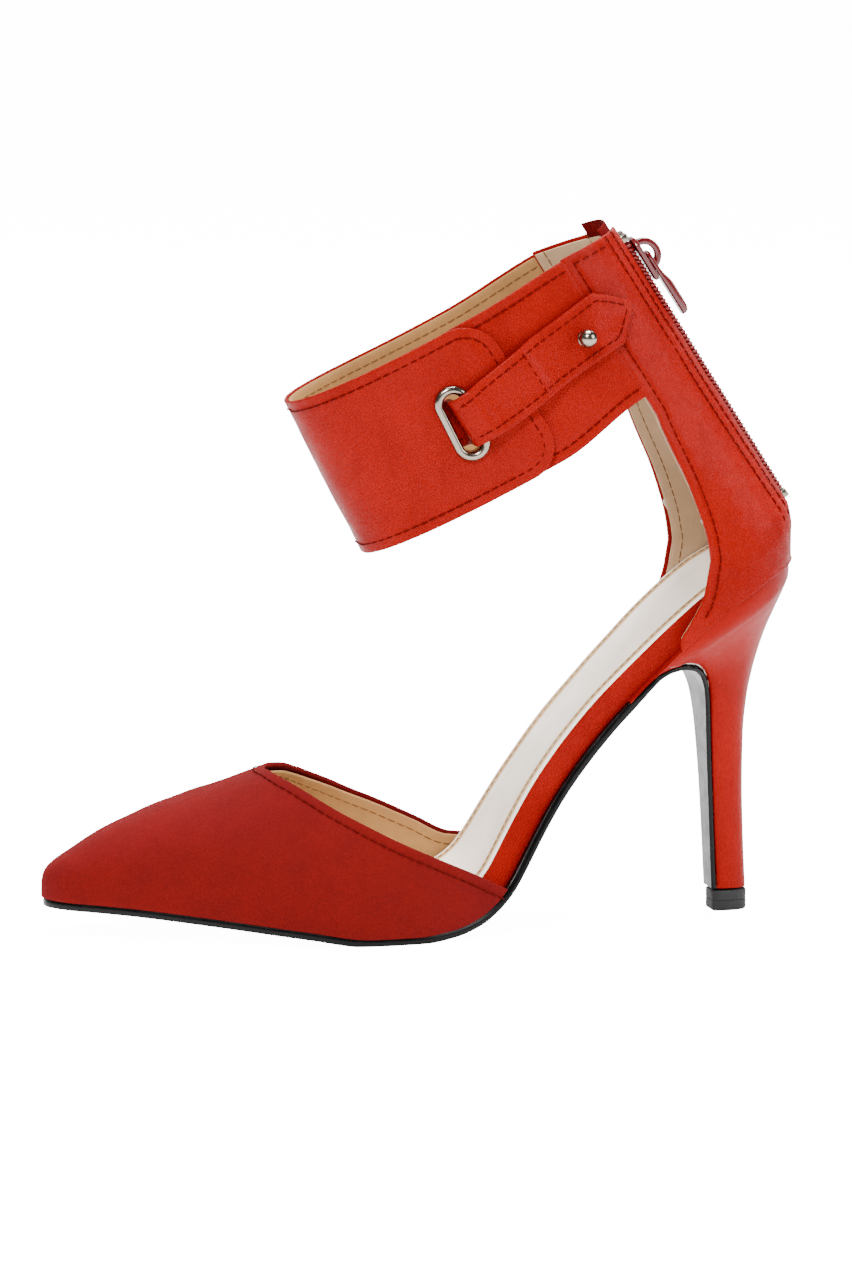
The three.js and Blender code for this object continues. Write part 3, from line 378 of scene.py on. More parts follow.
@dataclass
class Shell:
    """A closed skin between two depths of an open surface, with a rounded rim."""

    points: Array
    faces: list[tuple[int, ...]]
    outer: Array | float
    inner: Array | float
    roll: float = 0.35
    swell: Callable[[Array], Array] | None = None
    mark: Array | None = None
    floor: float | None = None
    normals: Array = field(init=False)

    @classmethod
    def grid(
        cls, grid: Array, depths: tuple[float, float], flip: bool = False, **options: Any
    ) -> "Shell":
        """Makes a shell from a grid of points, merging those that meet.

        Args:
            grid: Points by column and row, in millimetres.
            depths: Inner and outer depth below the surface, negative inwards.
            flip: Whether the grid's normals point the wrong way.
            **options: The shell's other fields.

        Returns:
            The shell.
        """
        columns, rows = grid.shape[:2]
        flat = grid.reshape(-1, 3)
        keys: dict[tuple[int, ...], int] = {}
        index = [keys.setdefault(tuple(k), len(keys)) for k in np.round(flat * 500).astype(int).tolist()]
        points = np.zeros((len(keys), 3))
        points[index] = flat
        faces = []
        for i in range(columns - 1):
            for j in range(rows - 1):
                a = i * rows + j
                ring = [index[k] for k in (a, a + rows, a + rows + 1, a + 1)]
                ring = [k for n, k in enumerate(ring) if k != ring[n - 1]]
                if len(set(ring)) > 2:
                    faces.append(tuple(reversed(ring)) if flip else tuple(ring))
        return cls(points, faces, depths[1], depths[0], **options)

    def __post_init__(self) -> None:
        """Works out the surface's normals."""
        normals = np.zeros_like(self.points)
        for face in self.faces:
            p = self.points[list(face)]
            n = np.cross(p[2] - p[0], (p[3] if len(face) > 3 else p[0]) - p[1])
            normals[list(face)] += n
        self.normals = normals / np.maximum(np.linalg.norm(normals, axis=1, keepdims=True), 1e-9)

    def _rim(self) -> tuple[list[tuple[int, int]], Array]:
        """Finds the open edges and the direction in which each of their points faces out.

        Returns:
            The edges, and an outward vector for every point, zero away from the rim.
        """
        edges = {(f[k - 1], f[k]) for f in self.faces for k in range(len(f))}
        rim = sorted((a, b) for a, b in edges if (b, a) not in edges)
        out = np.zeros_like(self.points)
        for a, b in rim:
            side = np.cross(self.points[b] - self.points[a], (self.normals[a] + self.normals[b]) / 2)
            side /= max(np.linalg.norm(side), 1e-9)
            out[[a, b]] += side
        return rim, out / np.maximum(np.linalg.norm(out, axis=1, keepdims=True), 1e-9)

    def build(self, name: str, place: Place) -> bpy.types.Object:
        """Makes the shell's object.

        Args:
            name: The object's name.
            place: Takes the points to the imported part's frame.

        Returns:
            The object.
        """
        rim, out = self._rim()
        count = len(self.points)
        swell = self.swell(self.points)[:, None] if self.swell else 0
        outer, inner = (np.full(count, depth, float)[:, None] for depth in (self.outer, self.inner))
        rows = [(0.14, 0.7, 1.0), (0.5, 1.0, 0.5), (0.86, 0.7, 0.0)]
        rim_points = sorted({k for edge in rim for k in edge})
        order = {k: n for n, k in enumerate(rim_points)}
        layers = [self.points + self.normals * (outer + swell), self.points + self.normals * inner]
        for down, reach, share in rows:
            depth = outer + (inner - outer) * down + swell * share
            layers.append((self.points + self.normals * depth + out * reach * self.roll)[rim_points])
        sizes = np.cumsum([0] + [len(layer) for layer in layers])

        def at(level: int, k: int) -> int:
            """Index of a rim point on one of the rim's rows."""
            if level == 0:
                return k
            if level > len(rows):
                return k + count
            return int(sizes[level + 1]) + order[k]

        faces = list(self.faces) + [tuple(k + count for k in reversed(f)) for f in self.faces]
        for a, b in rim:
            for level in range(len(rows) + 1):
                faces.append((at(level, a), at(level + 1, a), at(level + 1, b), at(level, b)))
        points = np.concatenate(layers)
        if self.floor is not None:
            points[:, 2] = np.maximum(points[:, 2], self.floor)
        obj = make_object(name, place(points), faces, rim=len(rim) * (len(rows) + 1))
        if self.mark is not None:
            values = np.concatenate([self.mark, self.mark, *[self.mark[rim_points]] * len(rows)])
            rim_mark = obj.data.attributes.new("rim", "FLOAT", "POINT")
            rim_mark.data.foreach_set("value", values.astype(np.float32))
        return obj


def add_object(name: str, data: Any) -> bpy.types.Object:
    """Adds an object with its data to the scene."""
    obj = bpy.data.objects.new(name, data)
    bpy.context.scene.collection.objects.link(obj)
    return obj


def make_object(
    name: str, points: Array, faces: Sequence[Sequence[int]], sharp: float = 40, rim: int = 0
) -> bpy.types.Object:
    """Makes a smooth-shaded mesh object from points in metres.

    Args:
        name: The object's name.
        points: The vertices.
        faces: The faces, by vertex.
        sharp: Edges that bend more than this many degrees stay sharp.
        rim: How many of the last faces take the second material.

    Returns:
        The object.
    """
    mesh = bpy.data.meshes.new(name)
    mesh.from_pydata(np.asarray(points).tolist(), [], [list(f) for f in faces])
    index = np.zeros(len(faces), np.int32)
    index[len(faces) - rim :] = 1
    mesh.polygons.foreach_set("material_index", index)
    mesh.update()
    mesh.shade_smooth()
    mesh.set_sharp_from_angle(angle=math.radians(sharp))
    return add_object(name, mesh)


def loft(
    name: str, rings: Sequence[Array], place: Callable[[Array], Array], sharp: float = 40
) -> bpy.types.Object:
    """A closed solid through rings of equal length, counter-clockwise seen from the last one.

    Args:
        name: The object's name.
        rings: The rings' points.
        place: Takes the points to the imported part's frame.
        sharp: Edges that bend more than this many degrees stay sharp.

    Returns:
        The object.
    """
    n = len(rings[0])
    faces: list[tuple[int, ...]] = []
    for k in range(len(rings) - 1):
        for j in range(n):
            a, b = k * n + j, k * n + (j + 1) % n
            faces.append((a, b, b + n, a + n))
    faces.append(tuple(reversed(range(n))))
    faces.append(tuple((len(rings) - 1) * n + j for j in range(n)))
    return make_object(name, place(np.concatenate(rings)), faces, sharp)


def valley(line: Array, width: float = 0.9, deep: float = 0.18) -> Callable[[Array], Array]:
    """A shallow groove that a row of stitches pulls into a surface.

    Args:
        line: The stitch line's points.
        width: The groove's half width.
        deep: Its depth.

    Returns:
        A function from points to how far they swell outwards.
    """
    line = np.asarray(line)[:: max(len(line) // 160, 1)]

    def swell(points: Array) -> Array:
        """Depth of the groove at the points."""
        out = np.zeros(len(points))
        for start in range(0, len(points), 4000):
            part = points[start : start + 4000]
            near = np.linalg.norm(part[:, None] - line[None], axis=2).min(1)
            out[start : start + 4000] = -deep * np.exp(-((near / width) ** 2))
        return out

    return swell


def ripple(height: float, size: float, seed: int) -> Callable[[Array], Array]:
    """Gentle unevenness of a soft sheet, as a sum of slow waves.

    Args:
        height: Its largest height.
        size: About how far apart its crests are.
        seed: Chooses the waves.

    Returns:
        A function from points to how far they swell outwards.
    """
    rng = np.random.default_rng(seed)
    ways = rng.normal(size=(7, 3))
    ways *= 2 * np.pi / size / np.linalg.norm(ways, axis=1, keepdims=True) * rng.uniform(0.6, 1.6, (7, 1))
    phases = rng.uniform(0, 2 * np.pi, 7)
    return lambda points: height * np.sin(points @ ways.T + phases).mean(1)


def together(*parts: Callable[[Array], Array]) -> Callable[[Array], Array]:
    """The sum of several swells."""
    return lambda points: sum(part(points) for part in parts)


def lerp(a: Array | float, b: Array | float, t: Array | float) -> Array:
    """Mixes two values by a share."""
    return a + (b - a) * np.asarray(t, float)


def inset_line(edge: Array, inner: Callable[[Array], Array], distance: float, reach: float = 14) -> Array:
    """Finds the steps that take each point of an edge to a line at one distance inside it.

    Args:
        edge: The edge's points.
        inner: Takes the steps, one for each point of the edge, to points on the surface.
        distance: How far inside the edge the line lies.
        reach: The longest step.

    Returns:
        The steps.
    """

    def short(step: Array) -> Array:
        """How much further from the edge than wanted the points are."""
        points = inner(step)
        return np.linalg.norm(points[:, None] - edge[None], axis=2).min(1) - distance

    return crossing(short, np.zeros(len(edge)), np.full(len(edge), float(reach)))


# ---------------------------------------------------------------- node graphs


class Graph:
    """Adds and links nodes in one shader or geometry tree."""

    def __init__(self, tree: bpy.types.NodeTree) -> None:
        """Starts on a tree."""
        self.tree = tree

    def add(self, kind: str, props: dict[str, Any] | None = None, **inputs: Any) -> bpy.types.Node:
        """Adds a node.

        Args:
            kind: The node's type.
            props: Values of the node's own settings.
            **inputs: Values or sockets for its inputs, by name with _ for a space, or _ and an index.

        Returns:
            The node.
        """
        node = self.tree.nodes.new(kind)
        for name, value in (props or {}).items():
            setattr(node, name, value)
        for name, value in inputs.items():
            if name[0] == "_":
                socket = node.inputs[int(name[1:])]
            else:
                socket = next(s for s in node.inputs if s.name == name.replace("_", " ") and s.enabled)
            if isinstance(value, bpy.types.NodeSocket):
                self.tree.links.new(value, socket)
            else:
                socket.default_value = value
        return node

    def math(self, operation: str, a: Any, b: Any = 0.0) -> bpy.types.NodeSocket:
        """One arithmetic step."""
        return self.add("ShaderNodeMath", {"operation": operation}, _0=a, _1=b).outputs[0]


def srgb(red: int, green: int, blue: int) -> tuple[float, float, float, float]:
    """A colour given in display values of 0 to 255, as the linear one that shaders take."""
    line = [c / 255 / 12.92 if c < 11 else ((c / 255 + 0.055) / 1.055) ** 2.4 for c in (red, green, blue)]
    return (*line, 1.0)


Colour = tuple[float, float, float, float]


@dataclass(frozen=True)
class Finish:
    """What every finish has: a name, a colour and a surface of its own."""

    name: str
    colour: Colour

    def paint(self, graph: Graph, shader: bpy.types.Node) -> None:
        """Adds the finish's own nodes.

        Args:
            graph: The material's graph.
            shader: Its Principled shader.
        """
        raise NotImplementedError

    def material(self) -> bpy.types.Material:
        """The finish's material, made once."""
        found = bpy.data.materials.get(self.name)
        if found:
            return found
        made = bpy.data.materials.new(self.name)
        made.use_nodes = True
        shader = made.node_tree.nodes["Principled BSDF"]
        shader.inputs["Base Color"].default_value = self.colour
        self.paint(Graph(made.node_tree), shader)
        return made

    @staticmethod
    def place(graph: Graph) -> bpy.types.NodeSocket:
        """The object coordinates, in metres."""
        return graph.add("ShaderNodeTexCoord").outputs["Object"]

    def noise(self, graph: Graph, size: float, detail: float = 3, stretch: Vector | None = None) -> Any:
        """Noise with features of a size in millimetres.

        Args:
            graph: The material's graph.
            size: The size of its features.
            detail: How many finer layers it has.
            stretch: Scales the coordinates first.

        Returns:
            The noise's value socket.
        """
        place = self.place(graph)
        if stretch is not None:
            place = graph.add("ShaderNodeMapping", Vector=place, Scale=stretch).outputs[0]
        node = graph.add("ShaderNodeTexNoise", Vector=place, Scale=1 / (size * MM), Detail=detail)
        return node.outputs[0]

    @staticmethod
    def ramp(graph: Graph, value: Any, stops: Sequence[tuple[float, Any]]) -> Any:
        """A colour ramp through stops of place and colour."""
        node = graph.add("ShaderNodeValToRGB", Fac=value)
        ramp = node.color_ramp
        while len(ramp.elements) < len(stops):
            ramp.elements.new(0.5)
        for element, (at, colour) in zip(ramp.elements, stops):
            element.position = at
            element.color = colour if isinstance(colour, tuple) else (colour, colour, colour, 1)
        return node.outputs[0]

    @staticmethod
    def mix(graph: Graph, share: Any, a: Any, b: Any, how: str = "MIX") -> Any:
        """Mixes two colours."""
        props = {"data_type": "RGBA", "blend_type": how}
        node = graph.add("ShaderNodeMix", props, Factor=share, A=a, B=b)
        return next(s for s in node.outputs if s.enabled)

    @staticmethod
    def bump(graph: Graph, shader: bpy.types.Node, layers: Sequence[tuple[Any, float, float]]) -> None:
        """Stacks bumps on a shader.

        Args:
            graph: The material's graph.
            shader: The shader that takes the normal.
            layers: Each bump's height socket, its depth in millimetres and its strength.
        """
        normal = None
        for height, depth, strength in layers:
            node = graph.add("ShaderNodeBump", Height=height, Distance=depth * MM, Strength=strength)
            if normal:
                graph.tree.links.new(normal, node.inputs["Normal"])
            normal = node.outputs[0]
        graph.tree.links.new(normal, shader.inputs["Normal"])

    def shade(self, by: float, warm: float = 1.0) -> Colour:
        """The finish's colour made lighter or darker."""
        r, g, b, _ = self.colour
        return (min(r * by, 1), min(g * by * warm, 1), min(b * by * warm, 1), 1.0)

    @staticmethod
    def wire(graph: Graph, value: Any, shader: bpy.types.Node, name: str) -> None:
        """Links a value to a shader's input."""
        graph.tree.links.new(value, shader.inputs[name])


@dataclass(frozen=True)
class Suede(Finish):
    """Brushed suede: a mottled nap that scatters light and never shines."""

    nap: float = 0.32

    def paint(self, graph: Graph, shader: bpy.types.Node) -> None:
        """Mottles the colour by how the nap lies and raises its fibres."""
        cloud = self.noise(graph, 9, 4)
        streak = self.noise(graph, 1.6, 5, Vector((0.55, 1.3, 1.3)))
        fibre = self.noise(graph, self.nap, 4)
        base = self.ramp(graph, cloud, [(0.3, self.shade(0.9)), (0.55, self.colour), (0.8, self.shade(1.08))])
        marks = self.ramp(graph, streak, [(0.3, 0.85), (0.55, 1.0), (0.8, 1.0)])
        nap = self.ramp(graph, fibre, [(0.25, 0.62), (0.5, 0.95), (0.8, 1.0)])
        colour = self.mix(graph, 0.45, base, marks, "MULTIPLY")
        self.wire(graph, self.mix(graph, 0.8, colour, nap, "MULTIPLY"), shader, "Base Color")
        shader.inputs["Roughness"].default_value = 0.96
        shader.inputs["Specular IOR Level"].default_value = 0.15
        shader.inputs["Sheen Weight"].default_value = 0.22
        shader.inputs["Sheen Roughness"].default_value = 0.45
        shader.inputs["Sheen Tint"].default_value = self.shade(2.2, 1.6)
        self.bump(graph, shader, [(streak, 0.25, 0.35), (fibre, 0.12, 0.6)])


@dataclass(frozen=True)
class Leather(Finish):
    """Grained leather with pores, soft creases and a semi-matt finish."""

    grain: float = 0.75
    depth: float = 0.2
    gloss: float = 0.36
    crease: float = 5.0
    coat: float = 0.03
    # How strongly painted shade darkens the colour in the pores and creases.
    recess_shade: float = 0.7
    tint: Colour = (1, 1, 1, 1)

    def paint(self, graph: Graph, shader: bpy.types.Node) -> None:
        """Gives the leather its grain, its creases and its worn patches, and darkens its pores and creases
        with painted shade.
        """
        place = self.place(graph)
        warp = graph.add("ShaderNodeTexNoise", Vector=place, Scale=1 / (3 * self.grain * MM), Detail=2)
        bent = graph.add(
            "ShaderNodeVectorMath", {"operation": "MULTIPLY_ADD"},
            _0=warp.outputs[1], _1=(self.grain * MM * 0.9,) * 3, _2=place,
        ).outputs[0]
        cells = graph.add(
            "ShaderNodeTexVoronoi", {"feature": "DISTANCE_TO_EDGE"}, Vector=bent, Scale=1 / (self.grain * MM)
        ).outputs[0]
        grain = self.ramp(graph, cells, [(0.0, 0.0), (0.16, 0.75), (0.5, 1.0)])
        crease = self.noise(graph, self.crease, 5, Vector((1.0, 1.0, 0.45)))
        patch = self.noise(graph, 22, 3)
        fine = self.noise(graph, 0.22, 2)
        worn = [(0.3, self.shade(0.86)), (0.55, self.colour), (0.8, self.shade(1.12, 1.08))]
        base = self.ramp(graph, patch, worn)
        # Painted shade: the grain's low cell edges, its pores, are darkened as if shade fell in them.
        pore_shade = self.ramp(graph, grain, [(0.0, 0.72), (0.6, 1.0)])
        # Painted shade: the colour is darkened where the crease bump is low.
        crease_shade = self.ramp(graph, crease, [(0.3, 0.86), (0.5, 1.0), (0.8, 1.0)])
        colour = self.mix(graph, self.recess_shade, base, pore_shade, "MULTIPLY")
        self.wire(graph, self.mix(graph, self.recess_shade, colour, crease_shade, "MULTIPLY"), shader, "Base Color")
        rough = self.ramp(graph, crease, [(0.3, min(self.gloss + 0.16, 1)), (0.7, self.gloss)])
        self.wire(graph, rough, shader, "Roughness")
        shader.inputs["Specular IOR Level"].default_value = 0.12
        shader.inputs["Specular Tint"].default_value = self.tint
        shader.inputs["Coat Weight"].default_value = self.coat
        shader.inputs["Coat Roughness"].default_value = 0.16
        self.bump(graph, shader, [(crease, 0.5, 0.22), (grain, self.depth, 0.7), (fine, 0.02, 0.4)])


@dataclass(frozen=True)
class Sock(Leather):
    """Pale insole leather with a gilt band that is printed along its edge."""

    gilt: Colour = srgb(186, 142, 82)
    band: tuple[float, float] = (0.9, 4.6)

    def paint(self, graph: Graph, shader: bpy.types.Node) -> None:
        """Adds the band by the distance from the edge, which the piece carries."""
        super().paint(graph, shader)
        leather = shader.inputs["Base Color"].links[0].from_socket
        rim = graph.add("ShaderNodeAttribute", {"attribute_name": "rim"}).outputs["Fac"]
        low, high = self.band
        inside = graph.math("GREATER_THAN", rim, low)
        band = graph.math("MULTIPLY", inside, graph.math("LESS_THAN", rim, high))
        share = graph.math("MULTIPLY", band, 0.85)
        self.wire(graph, self.mix(graph, share, leather, self.gilt), shader, "Base Color")


@dataclass(frozen=True)
class Hard(Finish):
    """A moulded, lacquered or metal surface with fine scratches and a little uneven gloss."""

    rough: tuple[float, float] = (0.2, 0.35)
    metal: float = 0.0
    coat: float = 0.0
    scratch: float = 0.012
    speckle: float = 0.0
    shine: float = 0.5

    def paint(self, graph: Graph, shader: bpy.types.Node) -> None:
        """Adds scratches, speckles and handling marks."""
        haze = self.noise(graph, 7, 4)
        lines = self.noise(graph, 0.25, 3, Vector((1.0, 1.0, 0.07)))
        speck = self.noise(graph, 0.5, 2)
        tone = self.ramp(graph, haze, [(0.3, self.shade(0.9)), (0.7, self.shade(1.08))])
        dark = self.ramp(graph, speck, [(0.3, 1 - self.speckle), (0.6, 1.0)])
        self.wire(graph, self.mix(graph, 1.0, tone, dark, "MULTIPLY"), shader, "Base Color")
        low, high = self.rough
        self.wire(graph, self.ramp(graph, haze, [(0.3, low), (0.7, high)]), shader, "Roughness")
        shader.inputs["Metallic"].default_value = self.metal
        shader.inputs["Specular IOR Level"].default_value = self.shine
        shader.inputs["Coat Weight"].default_value = self.coat
        shader.inputs["Coat Roughness"].default_value = 0.12
        self.bump(graph, shader, [(lines, self.scratch, 0.5), (speck, 0.02 + 0.1 * self.speckle, 0.35)])


@dataclass(frozen=True)
class Woven(Finish):
    """Herringbone zip tape or a twisted thread."""

    pitch: float = 0.55
    depth: float = 0.12

    def paint(self, graph: Graph, shader: bpy.types.Node) -> None:
        """Crosses two sets of ribs, shades the colour darker between them and lighter on their crowns as
        painted shade and highlight, and fuzzes them.
        """
        place = self.place(graph)
        ribs = []
        for direction in ("X", "Z"):
            props = {"bands_direction": direction, "wave_profile": "SIN"}
            wave = graph.add(
                "ShaderNodeTexWave", props, Vector=place, Scale=0.31 / (self.pitch * MM), Distortion=0.6
            )
            ribs.append(wave.outputs["Fac"])
        weave = graph.math("MULTIPLY", ribs[0], ribs[1])
        fuzz = self.noise(graph, 0.3, 3)
        # Painted shade and highlight: darker between the ribs and lighter on their crowns, where the weave
        # bump is low and high.
        base = self.ramp(graph, weave, [(0.0, self.shade(0.7)), (0.5, self.colour), (1.0, self.shade(1.2))])
        haze = self.ramp(graph, fuzz, [(0.3, 0.75), (0.6, 1.0)])
        self.wire(graph, self.mix(graph, 0.8, base, haze, "MULTIPLY"), shader, "Base Color")
        shader.inputs["Roughness"].default_value = 0.8
        shader.inputs["Specular IOR Level"].default_value = 0.06
        self.bump(graph, shader, [(weave, self.depth, 0.7), (fuzz, 0.05, 0.5)])


@dataclass(frozen=True)
class Raw(Finish):
    """A cut leather edge or a fibre board: short fibres in layers."""

    def paint(self, graph: Graph, shader: bpy.types.Node) -> None:
        """Mixes fibres of several shades."""
        fibre = self.noise(graph, 0.35, 4)
        cloud = self.noise(graph, 4, 3)
        shades = [(0.25, self.shade(0.62)), (0.5, self.colour), (0.8, self.shade(1.15))]
        base = self.ramp(graph, fibre, shades)
        tone = self.ramp(graph, cloud, [(0.3, 0.8), (0.6, 1.0)])
        self.wire(graph, self.mix(graph, 0.7, base, tone, "MULTIPLY"), shader, "Base Color")
        shader.inputs["Roughness"].default_value = 0.85
        self.bump(graph, shader, [(fibre, 0.1, 0.5)])


class Look(Enum):
    """Every finish of the shoe."""

    SUEDE = Suede("brushed red suede", srgb(98, 4, 5))
    LEATHER = Leather("red calf leather", srgb(134, 8, 3), tint=(1, 0.32, 0.26, 1))
    HEEL_LEATHER = Leather(
        "red heel leather", srgb(132, 9, 4), grain=0.6, depth=0.04, crease=9.0, tint=(1, 0.32, 0.26, 1)
    )
    EDGE = Raw("painted red edge", srgb(118, 8, 5))
    RAW_EDGE = Raw("natural cut edge", srgb(156, 98, 76))
    LINING = Leather(
        "tan lining leather", srgb(166, 122, 74), grain=0.5, depth=0.03, gloss=0.6, coat=0.0, recess_shade=0.5
    )
    PALE_LINING = Leather(
        "beige lining leather", srgb(172, 142, 110), grain=0.5, depth=0.03, gloss=0.6, coat=0.0, recess_shade=0.4
    )
    LINING_EDGE = Raw("lining cut edge", srgb(144, 110, 74))
    SOCK = Sock("pale sock leather", srgb(255, 241, 226), grain=0.55, depth=0.03, gloss=0.5, recess_shade=0.2)
    THREAD = Woven("dark red thread", srgb(84, 3, 3), pitch=0.28, depth=0.05)
    PALE_THREAD = Woven("tan thread", srgb(116, 80, 44), pitch=0.28, depth=0.05)
    SOLE = Hard("black polished sole", srgb(4, 4, 4), rough=(0.2, 0.36), coat=0.0, shine=0.14)
    RUBBER = Hard("black tread rubber", srgb(9, 9, 9), rough=(0.6, 0.8), speckle=0.5)
    BOARD = Raw("brown fibre board", srgb(150, 116, 80))
    FOAM = Raw("cream latex foam", srgb(222, 212, 182))
    STIFFENER = Raw("stiffener fibre", srgb(206, 198, 180))
    PLASTIC = Hard("moulded heel plastic", srgb(206, 200, 188), rough=(0.4, 0.55), speckle=0.1)
    STEEL = Hard("plain steel", srgb(176, 178, 182), rough=(0.25, 0.4), metal=1.0)
    NICKEL = Hard("polished nickel", srgb(142, 132, 120), rough=(0.14, 0.24), metal=1.0, scratch=0.006)
    TAPE = Woven("red zip tape", srgb(100, 5, 7))
    NYLON = Hard("red zip nylon", srgb(112, 6, 8), rough=(0.35, 0.5))
    LACQUER = Hard("crimson lacquer", srgb(86, 3, 8), rough=(0.12, 0.22), coat=0.5, shine=0.4)


class Slot(Enum):
    """The record's material slots."""

    RED_SUEDE = "red_suede"
    RED_LEATHER = "red_leather"
    TAN_LINING = "tan_lining"
    BEIGE_LINING = "beige_lining"
    SOCK_LEATHER = "sock_leather"
    SOLE = "sole"
    TOP_RUBBER = "top_rubber"
    NICKEL = "nickel"
    ZIP_TAPE = "zip_tape"
    ZIP_NYLON = "zip_nylon"
    RED_LACQUER = "red_lacquer"


def dress(
    obj: bpy.types.Object, looks: Sequence[Look], slot: Slot, body: Body, *nodes: str
) -> bpy.types.Object:
    """Finishes a piece and puts it on its body.

    Args:
        obj: The piece.
        looks: The finishes of its faces' material indices.
        slot: The record's slot; it is not used.
        body: The body that it rides on.
        *nodes: The CAD nodes that it stands for.

    Returns:
        The piece.
    """
    obj.data.materials.clear()
    for look in looks:
        obj.data.materials.append(look.value.material())
    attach(obj, body.value)
    if nodes:
        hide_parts(*nodes)
    LOG.info("%s: %d faces", obj.name, len(obj.data.polygons))
    return obj


# ---------------------------------------------------------------- Geometry Nodes


@dataclass
class GeometryRule:
    """A Geometry Nodes tree with named inputs, run once on a mesh of lines."""

    name: str
    inputs: dict[str, tuple[str, Any]]

    def start(self) -> tuple[Graph, Any]:
        """Makes the tree with its inputs.

        Returns:
            The graph, and a function from an input's name to its socket.
        """
        tree = bpy.data.node_groups.new(self.name, "GeometryNodeTree")
        tree.interface.new_socket("Geometry", in_out="INPUT", socket_type="NodeSocketGeometry")
        tree.interface.new_socket("Geometry", in_out="OUTPUT", socket_type="NodeSocketGeometry")
        for name, (kind, _) in self.inputs.items():
            tree.interface.new_socket(name, in_out="INPUT", socket_type="NodeSocket" + kind)
        graph = Graph(tree)
        source = graph.add("NodeGroupInput")
        return graph, lambda name: source.outputs[name]

    def end(self, graph: Graph, geometry: Any, material: Any) -> None:
        """Closes the tree: real, smooth, finished geometry."""
        real = graph.add("GeometryNodeRealizeInstances", Geometry=geometry).outputs[0]
        smooth = graph.add("GeometryNodeSetShadeSmooth", Geometry=real).outputs[0]
        done = graph.add("GeometryNodeSetMaterial", Geometry=smooth, Material=material).outputs[0]
        graph.add("NodeGroupOutput", Geometry=done)

    def run(
        self, obj: bpy.types.Object, tree: bpy.types.NodeTree, values: dict[str, Any]
    ) -> bpy.types.Object:
        """Runs the tree on an object and keeps the result as its mesh.

        Args:
            obj: The object that carries the lines.
            tree: The tree.
            values: Values of its named inputs.

        Returns:
            The object.
        """
        modifier = obj.modifiers.new(self.name, "NODES")
        modifier.node_group = tree
        sockets = {item.name: item.identifier for item in tree.interface.items_tree if item.in_out == "INPUT"}
        for name, value in values.items():
            modifier[sockets[name]] = value
        graph = bpy.context.evaluated_depsgraph_get()
        mesh = bpy.data.meshes.new_from_object(obj.evaluated_get(graph))
        obj.modifiers.remove(modifier)
        mesh.polygons.foreach_set("material_index", np.zeros(len(mesh.polygons), np.int32))
        obj.data = mesh
        return obj


@dataclass
class Stitching(GeometryRule):
    """Rows of machine stitches: short arched threads that follow lines on a surface."""

    name: str = "stitch row"
    inputs: dict[str, tuple[str, Any]] = field(default_factory=lambda: {
        "Pitch": ("Float", 0), "Length": ("Float", 0), "Radius": ("Float", 0), "Thread": ("Material", None),
    })

    def tree(self) -> bpy.types.NodeTree:
        """Makes the rule's tree."""
        graph, given = self.start()
        line = graph.add("GeometryNodeMeshToCurve", Mesh=given("Geometry")).outputs[0]
        points = graph.add(
            "GeometryNodeResampleCurve", {"mode": "LENGTH"}, Curve=line, Length=given("Pitch")
        ).outputs[0]
        half = graph.math("MULTIPLY", given("Length"), 0.5)
        dip = graph.math("MULTIPLY", given("Radius"), -0.8)
        rise = graph.math("MULTIPLY", given("Radius"), 1.9)
        ends = []
        for x, z in ((graph.math("MULTIPLY", half, -1.0), dip), (0.0, rise), (half, dip)):
            ends.append(graph.add("ShaderNodeCombineXYZ", X=x, Z=z).outputs[0])
        arc = graph.add(
            "GeometryNodeCurveQuadraticBezier", Resolution=6, Start=ends[0], Middle=ends[1], End=ends[2]
        ).outputs[0]
        ring = graph.add("GeometryNodeCurvePrimitiveCircle", Resolution=6, Radius=given("Radius")).outputs[0]
        stitch = graph.add(
            "GeometryNodeCurveToMesh", Curve=arc, Profile_Curve=ring, Fill_Caps=True
        ).outputs[0]
        tangent = graph.add("GeometryNodeInputTangent").outputs[0]
        out = graph.add(
            "GeometryNodeInputNamedAttribute", {"data_type": "FLOAT_VECTOR"}, Name="out"
        ).outputs[0]
        along = graph.add("FunctionNodeAlignRotationToVector", {"axis": "X"}, Vector=tangent).outputs[0]
        turn = graph.add(
            "FunctionNodeAlignRotationToVector", {"axis": "Z", "pivot_axis": "X"}, Rotation=along, Vector=out
        ).outputs[0]
        rows = graph.add(
            "GeometryNodeInstanceOnPoints", Points=points, Instance=stitch, Rotation=turn
        ).outputs[0]
        self.end(graph, rows, given("Thread"))
        return graph.tree


@dataclass
class Coiling(GeometryRule):
    """A nylon zip coil: one wire wound along z."""

    name: str = "zip coil"
    inputs: dict[str, tuple[str, Any]] = field(default_factory=lambda: {
        "Turns": ("Float", 0), "Width": ("Float", 0), "Height": ("Float", 0), "Wire": ("Float", 0),
        "Nylon": ("Material", None),
    })

    def tree(self) -> bpy.types.NodeTree:
        """Makes the rule's tree."""
        graph, given = self.start()
        wound = graph.add(
            "GeometryNodeCurveSpiral", Resolution=14, Rotations=given("Turns"), Start_Radius=given("Width"),
            End_Radius=given("Width"), Height=given("Height"),
        ).outputs[0]
        ring = graph.add("GeometryNodeCurvePrimitiveCircle", Resolution=8, Radius=given("Wire")).outputs[0]
        wire = graph.add(
            "GeometryNodeCurveToMesh", Curve=wound, Profile_Curve=ring, Fill_Caps=True
        ).outputs[0]
        self.end(graph, wire, given("Nylon"))
        return graph.tree


